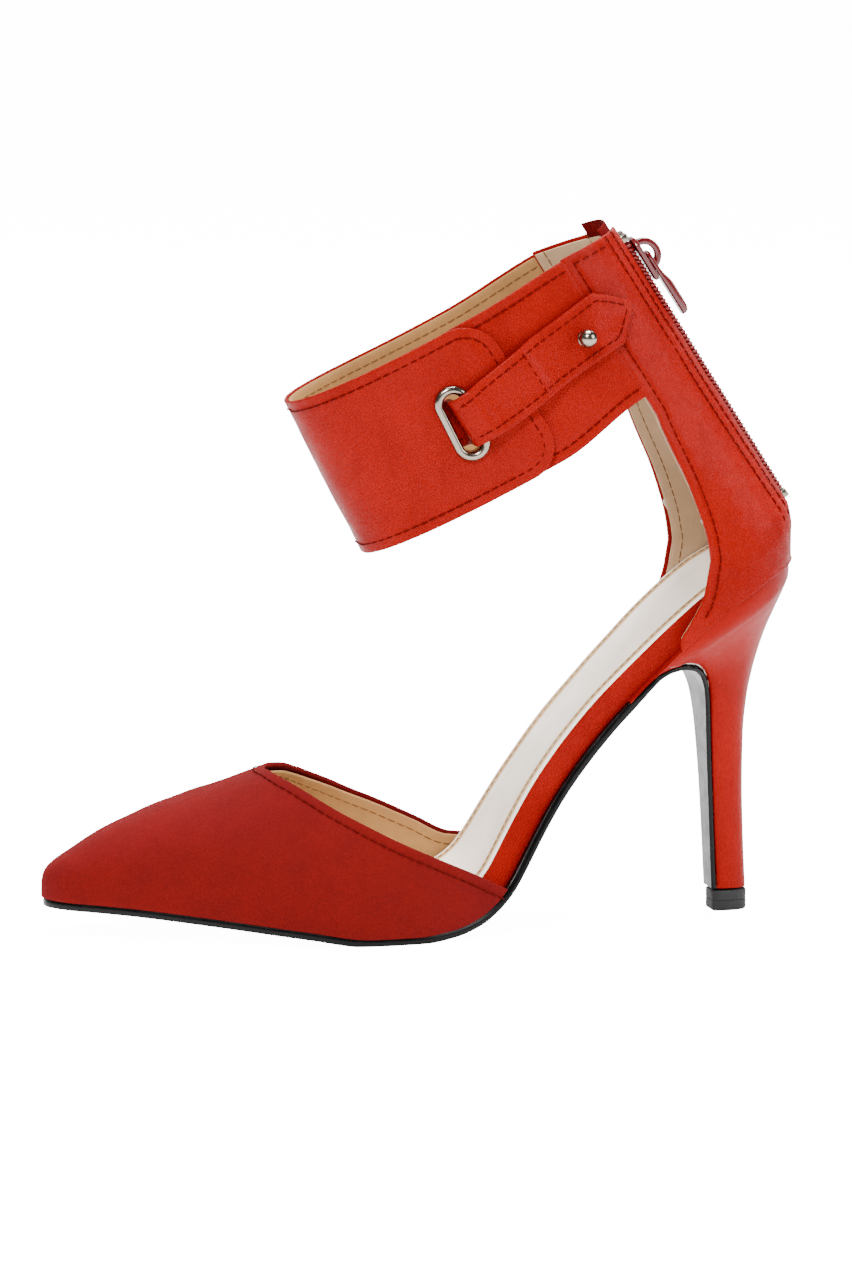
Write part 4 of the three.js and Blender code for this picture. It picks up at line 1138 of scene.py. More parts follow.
@dataclass
class Seams:
    """The stitch lines of one sub-assembly."""

    lines: list[tuple[Array, Array]] = field(default_factory=list)

    def add(self, points: Array, normals: Array) -> Array:
        """Adds a line.

        Args:
            points: Its points, in millimetres.
            normals: The surface's outward normals there.

        Returns:
            The points.
        """
        self.lines.append((points, normals))
        return points

    def sew(
        self, name: str, place: Place, look: Look, slot: Slot, pitch: float = 2.8, radius: float = 0.2
    ) -> bpy.types.Object:
        """Makes all the lines' stitches as one piece on the shoe.

        Args:
            name: The piece's name.
            place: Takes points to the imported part's frame.
            look: The thread's finish.
            slot: The record's slot.
            pitch: From one stitch to the next, in millimetres.
            radius: The thread's radius.

        Returns:
            The piece.
        """
        points = np.concatenate([line for line, _ in self.lines])
        mesh = bpy.data.meshes.new(name)
        edges: list[tuple[int, int]] = []
        start = 0
        for line, _ in self.lines:
            edges += [(start + k, start + k + 1) for k in range(len(line) - 1)]
            start += len(line)
        mesh.from_pydata(place(points).tolist(), edges, [])
        out = mesh.attributes.new("out", "FLOAT_VECTOR", "POINT")
        out.data.foreach_set("vector", np.concatenate([n for _, n in self.lines]).astype(np.float32).ravel())
        obj = add_object(name, mesh)
        rule = Stitching()
        values = {
            "Pitch": pitch * MM, "Length": pitch * 0.84 * MM, "Radius": radius * MM,
            "Thread": look.value.material(),
        }
        rule.run(obj, rule.tree(), values)
        return dress(obj, [look], slot, Body.SHOE)


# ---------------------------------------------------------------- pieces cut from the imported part's own


def rounded_copy(
    node: str, name: str, width: float, segments: int = 3, angle: float = 28
) -> bpy.types.Object:
    """Copies a CAD node as one merged mesh with rounded edges.

    Args:
        node: The node's name.
        name: The new piece's name.
        width: The rounding's width in millimetres.
        segments: Faces across a rounding.
        angle: Edges that bend more than this many degrees are rounded.

    Returns:
        The piece.
    """
    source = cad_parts[node]
    shape = bmesh.new()
    shape.from_mesh(source.data)
    bmesh.ops.remove_doubles(shape, verts=shape.verts, dist=1e-6)
    limit = math.radians(1)
    bmesh.ops.dissolve_limit(shape, angle_limit=limit, verts=shape.verts, edges=shape.edges)
    mesh = bpy.data.meshes.new(name)
    shape.to_mesh(mesh)
    shape.free()
    obj = add_object(name, mesh)
    bevel = obj.modifiers.new("rounding", "BEVEL")
    bevel.width = width * MM
    bevel.segments = segments
    bevel.limit_method = "ANGLE"
    bevel.angle_limit = math.radians(angle)
    apply_modifiers(obj)
    obj.data.shade_smooth()
    obj.data.set_sharp_from_angle(angle=math.radians(40))
    return obj


def outward(obj: bpy.types.Object) -> bpy.types.Object:
    """Turns a closed mesh's faces to point outwards."""
    shape = bmesh.new()
    shape.from_mesh(obj.data)
    bmesh.ops.recalc_face_normals(shape, faces=shape.faces)
    shape.to_mesh(obj.data)
    shape.free()
    return obj


def apply_modifiers(obj: bpy.types.Object) -> None:
    """Replaces an object's mesh by what its modifiers make of it."""
    graph = bpy.context.evaluated_depsgraph_get()
    mesh = bpy.data.meshes.new_from_object(obj.evaluated_get(graph))
    obj.modifiers.clear()
    obj.data = mesh


def cut_out(obj: bpy.types.Object, cutter: bpy.types.Object) -> None:
    """Cuts a closed shape out of a piece."""
    cut = obj.modifiers.new("cut", "BOOLEAN")
    cut.operation = "DIFFERENCE"
    cut.solver = "EXACT"
    cut.object = cutter
    apply_modifiers(obj)


# ---------------------------------------------------------------- bottom and heel


@dataclass
class Bottom:
    """The outsole with its heel-breast flap, the covered heel and the top piece."""

    place: Place
    thick: float = 2.4
    flap_thick: float = 1.3
    inset: float = 0.8
    flap_start: float = 60
    flap: tuple[tuple[float, float, float], ...] = (
        (63.6, 69.6, 19.5), (67, 71.9, 18.6), (71, 73.4, 17.6), (75, 74, 16.4), (78.6, 73.4, 14.9),
        (81.4, 71.6, 13), (83.2, 68.6, 11.2), (84.4, 64.5, 9.4), (85.2, 58, 7.6), (85.9, 48, 6),
        (86.6, 36, 5.1), (87.3, 22, 4.6), (88, 6.9, 4.3),
    )
    rings: tuple[tuple[float, ...], ...] = (
        (88.6, 6.6, 97.8, 6.6, 4.35, 0.3), (87.7, 22, 97.1, 22, 4.65, 0.3),
        (86.95, 37, 96.7, 37.5, 5.15, 0.3), (86.3, 49, 96.8, 50.5, 6.1, 0.3),
        (85.6, 58.6, 97.7, 62, 7.8, 0.3), (84.8, 65, 99.1, 70, 9.8, 0.32),
        (83.5, 69.4, 101, 77.5, 12.3, 0.34), (81.5, 72.3, 103.3, 84.6, 15.2, 0.36),
        (78.7, 74.1, 105.9, 91, 18.2, 0.38), (75, 74.7, 108, 96, 20.8, 0.41),
        (70.5, 74, 109.2, 100, 22.7, 0.44), (66.5, 73, 109.2, 107, 23.8, 0.46),
        (65.6, 76, 109.2, 118, 23.9, 0.46),
    )
    lift: float = 6
    corner_span: tuple[float, float] = (58.2, 74)

    def outsole(self) -> bpy.types.Object:
        """The sole: a thin leather board under the seat line that turns down the heel's breast."""
        fore = LAST.stations(LAST.toe_x + self.inset, self.flap_start, np.linspace(0, 1, 110) ** 1.4)
        fore_half = LAST.outline(fore, self.inset + 1.2 * smoothstep(fore, 0, 40))
        flap = np.array(self.flap)
        order = np.linspace(0, len(flap), 90)
        knots = [(fore[-1], float(LAST.seat(fore[-1])), fore_half[-1]), *map(tuple, flap)]
        turn = columns(knots, order)
        x = np.concatenate([fore, turn[0][1:]])
        z = np.concatenate([LAST.seat(fore), turn[1][1:]])
        half = np.concatenate([fore_half, turn[2][1:]])
        across = np.linspace(-1, 1, 25)
        grid = vec(x[:, None], LAST.middle(x)[:, None] + half[:, None] * across, z[:, None])
        flat = Shell.grid(grid, (0, 0))
        depth = -lerp(self.thick, self.flap_thick, smoothstep(flat.points[:, 0], 56, 72))
        flat.inner, flat.roll, flat.floor = depth, 0.3, 0.0
        return flat.build("polished_outsole", self.place)

    def heel_ring(self, row: Sequence[float], grow: float = 0) -> Array:
        """One ring of the heel from its breast round the back.

        Args:
            row: Front x and z, back x and z, half width and where the round back starts.
            grow: How much wider the ring is.

        Returns:
            The ring's points.
        """
        fx, fz, bx, bz, half, start = row
        angle = np.linspace(0, np.pi / 2, 16)
        power = 2 / LAST.heel_power
        breast = [(0, 0.4), (0, 0.8), (0.012, 0.87), (0.04, 0.915), (start / 2, 0.97)]
        share = np.concatenate([[b[0] for b in breast], start + (1 - start) * np.sin(angle) ** power])
        wide = np.concatenate([[b[1] for b in breast], np.clip(np.cos(angle), 0, 1) ** power])
        share = np.concatenate([share, share[-2::-1]])
        wide = np.concatenate([-wide, wide[-2::-1]]) * (half + grow)
        return vec(fx + (bx - fx) * share, wide, fz + (bz - fz) * share)

    def heel_cover(self) -> bpy.types.Object:
        """The leather-covered heel, closed under the seat."""
        order = np.linspace(0, len(self.rings) - 1, 90)
        rows = np.stack(columns(self.rings, order), -1)
        rings = []
        for row in rows:
            ring = self.heel_ring(row)
            wide = LAST.outline(ring[:, 0], 0.25) * np.abs(ring[:, 1]) / row[4]
            near = smoothstep(ring[:, 2] - LAST.seat(ring[:, 0]), -8, 0)
            ring[:, 1] += near * np.sign(ring[:, 1]) * np.maximum(wide - np.abs(ring[:, 1]), 0)
            ring[:, 2] = np.minimum(ring[:, 2], LAST.seat(ring[:, 0]) + 0.26)
            rings.append(ring)
        return loft("leather_heel", rings, self.place, 60)

    def corner(self) -> bpy.types.Object:
        """The leather turned in between the seat and the sole ahead of the heel."""
        start, end = self.corner_span
        x = np.linspace(start, end, 40)
        tip = (start, float(LAST.seat(start)) - 0.4, float(LAST.outline(start, 0.9)))
        stations, heights, halves = zip(tip, *self.flap[:4])
        low, foot = np.interp(x, stations, heights), np.interp(x, stations, halves)
        high = LAST.seat(x) + 0.24
        head = LAST.outline(x, 0.3)
        share = np.linspace(0, 1, 9)
        rings = []
        for at, z0, z1, y0, y1 in zip(x, low, high, foot, head):
            wide = lerp(y0, y1, share**0.8)
            tall = lerp(z0, z1, share)
            side = vec(np.full(9, at), wide, tall)
            rings.append(np.concatenate([side, side[::-1] * [1, -1, 1]]))
        return outward(loft("leather_heel_corner", rings, self.place, 50))

    def top_piece(self) -> bpy.types.Object:
        """The rubber under the heel's tip, a little wider than the heel, with worn edges."""
        fx, _, bx, _, half, start = self.rings[0]
        rings = []
        for z, draw in ((0, 0.5), (0.12, 0.22), (0.45, 0.05), (1, 0), (2.9, 0), (3.05, 0.14), (3.2, 0),
                        (self.lift - 0.4, 0), (self.lift - 0.08, 0.1), (self.lift, 0.35)):
            row = (fx - 1.4 + draw, z, bx + 0.25 - draw, z, half + 0.2 - draw, start)
            rings.append(self.heel_ring(row))
        return loft("rubber_top_piece", rings, self.place)

    def build(self) -> None:
        """Builds and dresses the bottom."""
        dress(self.outsole(), [Look.SOLE, Look.SOLE], Slot.SOLE, Body.SHOE, "outsole")
        dress(self.heel_cover(), [Look.HEEL_LEATHER], Slot.RED_LEATHER, Body.SHOE, "heel_cover")
        dress(self.corner(), [Look.HEEL_LEATHER], Slot.RED_LEATHER, Body.SHOE)
        dress(self.top_piece(), [Look.RUBBER], Slot.TOP_RUBBER, Body.SHOE, "top_piece")


# ---------------------------------------------------------------- footbed


@dataclass
class Footbed:
    """The covered insole: a pale sock with a gilt edge over a leather-wrapped board."""

    place: Place
    inset: float = 4.0
    toe_x: float = -96
    wrap_front: float = 2
    wrap_heights: tuple[float, float] = (0.3, 6.9)
    wrap_thick: float = 0.9
    sock: tuple[float, float] = (7.2, 8.0)
    slack: Curve = Curve([(-96, 2.6), (-80, 1.6), (-40, 0.9), (0, 0.6), (20, 0)])

    @property
    def heel_x(self) -> float:
        """The footbed's end at the heel."""
        return LAST.heel_x - self.inset

    def half(self, x: Array) -> Array:
        """Half the footbed's width."""
        return np.maximum(LAST.outline(x, self.inset) - self.slack(x), 0)

    def sock_lining(self) -> bpy.types.Object:
        """The sock, whose points carry their distance from its edge."""
        x = LAST.stations(self.toe_x, self.heel_x, np.sin(np.linspace(0, np.pi / 2, 130)))
        half = self.half(x)[:, None]
        across = np.linspace(-1, 1, 41)
        grid = vec(x[:, None], LAST.middle(x)[:, None] + half * across, LAST.seat(x)[:, None])
        shell = Shell.grid(grid, self.sock, roll=0.3)
        here = shell.points
        side = self.half(here[:, 0]) - np.abs(here[:, 1] - LAST.middle(here[:, 0]))
        shell.mark = np.minimum(side, (self.heel_x - here[:, 0]) * 1.2)
        groove = -0.1 * np.exp(-(((shell.mark - 4.9) / 0.5) ** 2))
        shell.swell = together(ripple(0.12, 26, 5), lambda points: groove)
        return shell.build("sock_leather", self.place)

    def rim_line(self, inside: float, start: float) -> tuple[Array, Array]:
        """A line along the sock's edge, from one side round the heel to the other.

        Args:
            inside: Its distance from the edge.
            start: Where it starts along the shoe.

        Returns:
            Its points and normals.
        """
        x = LAST.stations(start, self.heel_x - inside, np.sin(np.linspace(0, np.pi / 2, 120)))
        y = np.maximum(self.half(x) - inside, 0)
        x = np.concatenate([x, x[-2::-1]])
        y = LAST.middle(x) + np.concatenate([-y, y[-2::-1]])
        normal = LAST.seat_normal(x)
        return vec(x, y, LAST.seat(x)) + normal * (self.sock[1] + 0.02), normal

    def wrap(self) -> bpy.types.Object:
        """The red leather round the board's edge."""
        x = LAST.stations(self.wrap_front, self.heel_x, np.sin(np.linspace(0, np.pi / 2, 110)))
        side = np.concatenate([-np.ones(len(x)), np.ones(len(x) - 1)])[:, None]
        x = np.concatenate([x, x[-2::-1]])[:, None]
        height = np.linspace(*self.wrap_heights, 9)
        at = vec(x, LAST.middle(x) + side * self.half(x), LAST.seat(x))
        grid = at + LAST.seat_normal(x[:, 0])[:, None] * height[:, None]
        return Shell.grid(grid, (-self.wrap_thick, 0), roll=0.4).build("insole_wrap_leather", self.place)

    def build(self) -> None:
        """Builds and dresses the footbed."""
        looks = [Look.SOCK, Look.LINING_EDGE]
        dress(self.sock_lining(), looks, Slot.SOCK_LEATHER, Body.SHOE, "sock_lining")
        dress(self.wrap(), [Look.LEATHER, Look.EDGE], Slot.RED_LEATHER, Body.SHOE, "insole_wrap")
        seams = Seams()
        seams.add(*self.rim_line(2.7, -60))
        seams.sew("sock_stitches", self.place, Look.PALE_THREAD, Slot.SOCK_LEATHER, 2.4, 0.14)


# ---------------------------------------------------------------- vamp


@dataclass
class Forepart:
    """The suede vamp and its lining."""

    place: Place
    outer: tuple[float, float] = (-1.2, 0)
    lining: tuple[float, float] = (-3.2, -2.4)
    stitch_in: float = 2.6

    def grid(self, start: float, ease: Callable[[Array], Array], trim: float, size: tuple[int, int]) -> Array:
        """The forepart's surface from a station to the topline."""
        t = np.linspace(0, 1, size[1])
        u = ease(np.linspace(0, 1, size[0]))[:, None]
        return LAST.arch(lerp(start, LAST.throat(t) - trim, u), t[None])

    def seam(self, inside: float, depth: float) -> tuple[Array, Array]:
        """A line that follows the topline at a distance inside it.

        Args:
            inside: The distance.
            depth: How far the line lies above the surface.

        Returns:
            Its points and normals.
        """
        t = np.linspace(0.0, 1.0, 260)
        throat = LAST.throat(t)
        step = inset_line(LAST.arch(throat, t), lambda s: LAST.arch(throat - s, t), inside)
        x = throat - step
        along = LAST.arch(x + 0.4, t) - LAST.arch(x - 0.4, t)
        inner = np.clip(t, 0.004, 0.996)
        across = LAST.arch(x, inner + 0.004) - LAST.arch(x, inner - 0.004)
        normal = np.cross(along, across)
        normal /= np.linalg.norm(normal, axis=1, keepdims=True)
        return LAST.arch(x, t) + normal * depth, normal

    def build(self) -> None:
        """Builds and dresses the vamp."""
        seams = Seams()
        line = seams.add(*self.seam(self.stitch_in, 0.02))
        skin = Shell.grid(
            self.grid(LAST.toe_x, lambda u: 1 - np.cos(np.pi / 2 * u), 0, (130, 110)), self.outer,
            roll=0.55, swell=together(valley(line), ripple(0.16, 17, 3), ripple(0.05, 4, 8)),
        )
        looks = [Look.SUEDE, Look.EDGE]
        dress(skin.build("suede_vamp", self.place), looks, Slot.RED_SUEDE, Body.SHOE, "vamp")
        inside = Shell.grid(self.grid(-100, lambda u: u, 0.4, (70, 90)), self.lining, roll=0.3)
        looks = [Look.LINING, Look.LINING_EDGE]
        piece = inside.build("vamp_lining_leather", self.place)
        dress(piece, looks, Slot.TAN_LINING, Body.SHOE, "vamp_lining")
        seams.sew("vamp_stitches", self.place, Look.THREAD, Slot.RED_SUEDE, 2.9, 0.2)
        inner = Seams()
        points, normals = self.seam(3.0, self.lining[0] - 0.02)
        inner.add(points, -normals)
        inner.sew("vamp_lining_stitches", self.place, Look.PALE_THREAD, Slot.TAN_LINING, 2.9, 0.16)


# ---------------------------------------------------------------- quarters


@dataclass
class Quarters:
    """The two back panels with their linings, joined at the heel and open along the zip."""

    place: Place
    outer: tuple[float, float] = (-1.2, 0)
    lining: tuple[float, float] = (-3.2, -2.4)
    slit: float = 3.3
    seam: float = 0.2
    seam_g: float = 20.8
    zip_start: float = 15
    front: Curve = Curve([
        (-6, 44.5), (-1.7, 43), (0.8, 39.5), (3.4, 36.9), (6, 34.8), (10.6, 33.2), (14.8, 31.2),
        (19.2, 29.2), (23.1, 27.7), (28, 26.3), (39, 23.9), (48, 22.7), (54, 21.8), (59, 20.8),
    ])

    def top(self, g: Array) -> Array:
        """Height of the panels' top edge."""
        return lerp(109.6, 111.6, g / self.seam_g)

    def panel(
        self, side: Side, slit: float, seam: float, front: float, top: float, size: tuple[int, int]
    ) -> Array:
        """A panel's surface.

        Args:
            side: The shoe's side.
            slit: Half the opening along the zip.
            seam: Half the gap below it.
            front: How far the front edge is drawn in.
            top: How far the top edge is drawn in.
            size: Columns and rows.

        Returns:
            The grid's points.
        """
        share = np.linspace(0, 1, size[1]) ** 1.25
        edge = np.full(size[1], 30.0)
        height = np.zeros(size[1])
        for _ in range(30):
            height = lerp(LEG.foot(edge), self.top(edge) - top, share)
            edge = lerp(edge, self.front(height) - front, 0.6)
        back = lerp(seam, slit, smoothstep(height, self.zip_start - 4, self.zip_start - 1.5))
        start = LEG.back_at(back, np.maximum(height, 0))
        g = lerp(start, edge, np.linspace(0, 1, size[0])[:, None] ** 2)
        return LEG.point(g, lerp(LEG.foot(g), self.top(g) - top, share), side.value)

    def front_line(self, side: Side, inside: float, depth: float, low: float = 2.0) -> tuple[Array, Array]:
        """A line along the front edge at a distance inside it."""
        p = np.linspace(low, 108.5, 320)
        edge = LEG.point(self.front(p), p, side.value)
        step = inset_line(edge, lambda s: LEG.point(self.front(p) - s, p, side.value), inside)
        return LEG.line(self.front(p) - step, p, side, depth)

    def zip_line(self, side: Side, inside: float, depth: float) -> tuple[Array, Array]:
        """A line along the zip at a distance from its slit."""
        p = np.linspace(self.zip_start - 1, 109, 160)
        return LEG.line(LEG.back_at(np.full(len(p), self.slit), p) + inside, p, side, depth)

    def top_line(self, side: Side, inside: float, depth: float) -> tuple[Array, Array]:
        """A line along the top edge at a distance under it."""
        g = np.linspace(8, self.seam_g - 3.4, 40)
        return LEG.line(g, self.top(g) - self.trim(side) - inside, side, depth)

    @staticmethod
    def trim(side: Side) -> float:
        """How far a panel's top edge is drawn in."""
        return 1.8 if side is Side.INNER else 0.0

    def build(self) -> None:
        """Builds and dresses the quarters."""
        seams = Seams()
        inner_seams = Seams()
        for side, word, nodes in (
            (Side.OUTER, "outer", ("quarter_lateral", "quarter_lining_lateral")),
            (Side.INNER, "inner", ("quarter_medial", "quarter_lining_medial")),
        ):
            lines = [
                seams.add(*self.front_line(side, 2.6, 0.02)),
                seams.add(*self.zip_line(side, 2.4, 0.02)),
                seams.add(*self.zip_line(side, 5.0, 0.02)),
                seams.add(*self.top_line(side, 2.4, 0.02)),
            ]
            flip = side is Side.OUTER
            swell = together(*map(valley, lines), ripple(0.42, 22, 11), ripple(0.14, 7, 13))
            grid = self.panel(side, self.slit, self.seam, 0, self.trim(side), (70, 150))
            skin = Shell.grid(grid, self.outer, flip, roll=0.4, swell=swell)
            looks = [Look.LEATHER, Look.RAW_EDGE]
            piece = skin.build(f"{word}_quarter_leather", self.place)
            dress(piece, looks, Slot.RED_LEATHER, Body.SHOE, nodes[0])
            grid = self.panel(side, 5.4, 3.2, 0.5, self.trim(side) + 0.4, (44, 90))
            inside = Shell.grid(grid, self.lining, flip, roll=0.25, swell=ripple(0.15, 18, 17))
            looks = [Look.PALE_LINING, Look.LINING_EDGE]
            piece = inside.build(f"{word}_quarter_lining", self.place)
            dress(piece, looks, Slot.BEIGE_LINING, Body.SHOE, nodes[1])
            for points, normals in (self.front_line(side, 3.2, -3.22), self.zip_line(side, 4, -3.22)):
                inner_seams.add(points, -normals)
        seams.sew("quarter_stitches", self.place, Look.THREAD, Slot.RED_LEATHER, 2.7, 0.18)
        inner_seams.sew("quarter_lining_stitches", self.place, Look.PALE_THREAD, Slot.BEIGE_LINING, 2.7, 0.15)


# ---------------------------------------------------------------- cuff


@dataclass
class Cuff:
    """The ankle cuff: a band with a rounded flap that laps over a second band on the outer side."""

    place: Place
    low: float = 61.5
    height: float = 48.6
    sag: float = 4
    seam_g: float = 20.9
    flap_end: float = 50.6
    flap_round: float = 10.5
    under_end: float = 60
    outer: tuple[float, float] = (0.3, 1.4)
    inner: tuple[float, float] = (-0.8, 0)
    under: tuple[float, float] = (-1.1, 0)
    under_inner: tuple[float, float] = (-2.2, -1.4)

    @property
    def depth(self) -> float:
        """The cuff's depth from back to front at its middle height."""
        return float(LEG.depth(self.low + self.height / 2))

    def edges(self, g: Array, side: Array) -> tuple[Array, Array]:
        """Heights of the bottom and top edges at g on the side of a sign."""
        share = np.clip((LEG.front - g) / 110, 0, 1)
        sag = np.where(side > 0, self.sag * np.sin(np.pi * share), 0)
        rise = smoothstep(52 - g, 0, 30)
        return self.low + 4 * rise - sag, self.low + self.height + rise - sag

    def spot(self, g: Array, p: Array) -> Array:
        """The leg's own g of a point of the cuff."""
        return g + (LEG.depth(p) - self.depth) * (g / self.depth) ** 3

    def way(self, start: float, end: float, counts: tuple[int, int, int]) -> tuple[Array, Array]:
        """Stations from the flap's end round the front to the inner seam.

        Args:
            start: The first g, on the outer side.
            end: The last g, on the inner side.
            counts: Stations on the rounded end, the outer side and the inner side.

        Returns:
            Each station's g and its side's sign.
        """
        near = start + self.flap_round * (1 - np.cos(np.linspace(0, np.pi / 2, counts[0])))
        turn = lerp(near[-1], self.depth, np.sin(np.linspace(0, np.pi / 2, counts[1])))
        back = lerp(end, self.depth, np.sin(np.linspace(0, np.pi / 2, counts[2])))[::-1]
        g = np.concatenate([near[:-1], turn, back[1:]])
        sign = np.concatenate([-np.ones(counts[0] - 1 + counts[1]), np.ones(counts[2] - 1)])
        return g, sign

    def ends(self, g: Array, side: Array, start: float, rounded: bool, trim: float) -> tuple[Array, Array]:
        """Heights of a band's edges, rounded off towards the flap's end."""
        low, high = self.edges(g, side)
        if rounded:
            back = np.where(side < 0, np.clip((start + self.flap_round - g) / self.flap_round, 0, 1), 0)
            drop = self.flap_round * (1 - np.sqrt(np.maximum(1 - back * back, 0)))
            low, high = low + drop, high - drop
        return low + trim, high - trim

    def band(self, start: float, rounded: bool, trim: float, size: tuple[int, int, int], rows: int) -> Array:
        """The front band's surface."""
        g, side = self.way(start, self.seam_g, size)
        low, high = self.ends(g, side, start, rounded, trim)
        p = lerp(low[:, None], high[:, None], np.linspace(0, 1, rows))
        return LEG.point(self.spot(g[:, None], p), p, side[:, None])

    def under_band(self, trim: float, size: tuple[int, int]) -> Array:
        """The rear band's surface."""
        g = np.linspace(self.seam_g, self.under_end, size[0])
        low, high = self.edges(g, -np.ones(size[0]))
        p = lerp((low + trim)[:, None], (high - trim)[:, None], np.linspace(0, 1, size[1]))
        return LEG.point(self.spot(g[:, None], p), p, -1)

    def rim_lines(self, inside: float, depth: float) -> list[tuple[Array, Array]]:
        """Lines inside the front band's edge: round the flap along both edges to the inner seam."""
        start = self.flap_end + inside
        g, side = self.way(start, self.seam_g, (40, 160, 160))
        low, high = self.edges(g, side)
        radius = self.flap_round - inside
        back = np.where(side < 0, np.clip((start + radius - g) / radius, 0, 1), 0)
        drop = radius * (1 - np.sqrt(np.maximum(1 - back * back, 0)))
        top = LEG.line(self.spot(g, high - inside - drop), high - inside - drop, side, depth)
        bottom = LEG.line(self.spot(g, low + inside + drop), low + inside + drop, side, depth)
        p = np.linspace(low[0] + inside + drop[0], high[0] - inside - drop[0], 60)
        end = LEG.line(self.spot(np.full(60, g[0]), p), p, -np.ones(60), depth)
        whole = [np.concatenate([a[::-1], b[1:-1], c]) for a, b, c in zip(bottom, end, top)]
        return [tuple(whole)]

    def build(self) -> None:
        """Builds and dresses the cuff."""
        hole = Strap.hole_cutter(self.place)
        seams = Seams()
        lines = [seams.add(*line) for line in self.rim_lines(2.6, self.outer[1] + 0.02)]
        swell = together(*map(valley, lines), ripple(0.4, 28, 21), ripple(0.12, 8, 23))
        skin = Shell.grid(
            self.band(self.flap_end, True, 0, (26, 110, 100), 64), self.outer, True, roll=0.45, swell=swell
        ).build("cuff_leather", self.place)
        cut_out(skin, hole)
        dress(skin, [Look.LEATHER, Look.EDGE], Slot.RED_LEATHER, Body.SHOE, "cuff_band")
        lining = Shell.grid(
            self.band(self.under_end + 0.5, False, 0.4, (20, 80, 80), 40), self.inner, True, roll=0.25,
            swell=ripple(0.12, 20, 25),
        ).build("cuff_lining_leather", self.place)
        cut_out(lining, hole)
        dress(lining, [Look.LINING, Look.EDGE], Slot.TAN_LINING, Body.SHOE, "cuff_lining")
        bpy.data.objects.remove(hole)
        rear = []
        g = np.linspace(self.seam_g + 2, self.under_end - 2, 80)
        low, high = self.edges(g, -np.ones(80))
        for p in (low + 2.6, high - 2.6):
            rear.append(seams.add(*LEG.line(self.spot(g, p), p, -np.ones(80), 0.02)))
        skin = Shell.grid(
            self.under_band(0, (60, 64)), self.under, True, roll=0.4,
            swell=together(*map(valley, rear), ripple(0.25, 22, 27)),
        ).build("rear_cuff_leather", self.place)
        dress(skin, [Look.LEATHER, Look.EDGE], Slot.RED_LEATHER, Body.SHOE, "cuff_underlay")
        lining = Shell.grid(self.under_band(0.4, (40, 40)), self.under_inner, True, roll=0.25)
        piece = lining.build("rear_cuff_lining", self.place)
        dress(piece, [Look.LINING, Look.EDGE], Slot.TAN_LINING, Body.SHOE, "underlay_lining")
        seams.sew("cuff_stitches", self.place, Look.THREAD, Slot.RED_LEATHER, 2.8, 0.19)
        inner = Seams()
        g, side = self.way(self.under_end + 3, self.seam_g + 2, (20, 120, 140))
        low, high = self.edges(g, side)
        for p in (high - 3, low + 3):
            points, normals = LEG.line(self.spot(g, p), p, side, self.inner[0] - 0.02)
            inner.add(points, -normals)
        inner.sew("cuff_lining_stitches", self.place, Look.PALE_THREAD, Slot.TAN_LINING, 2.8, 0.16)


# ---------------------------------------------------------------- strap, eyelet and stud


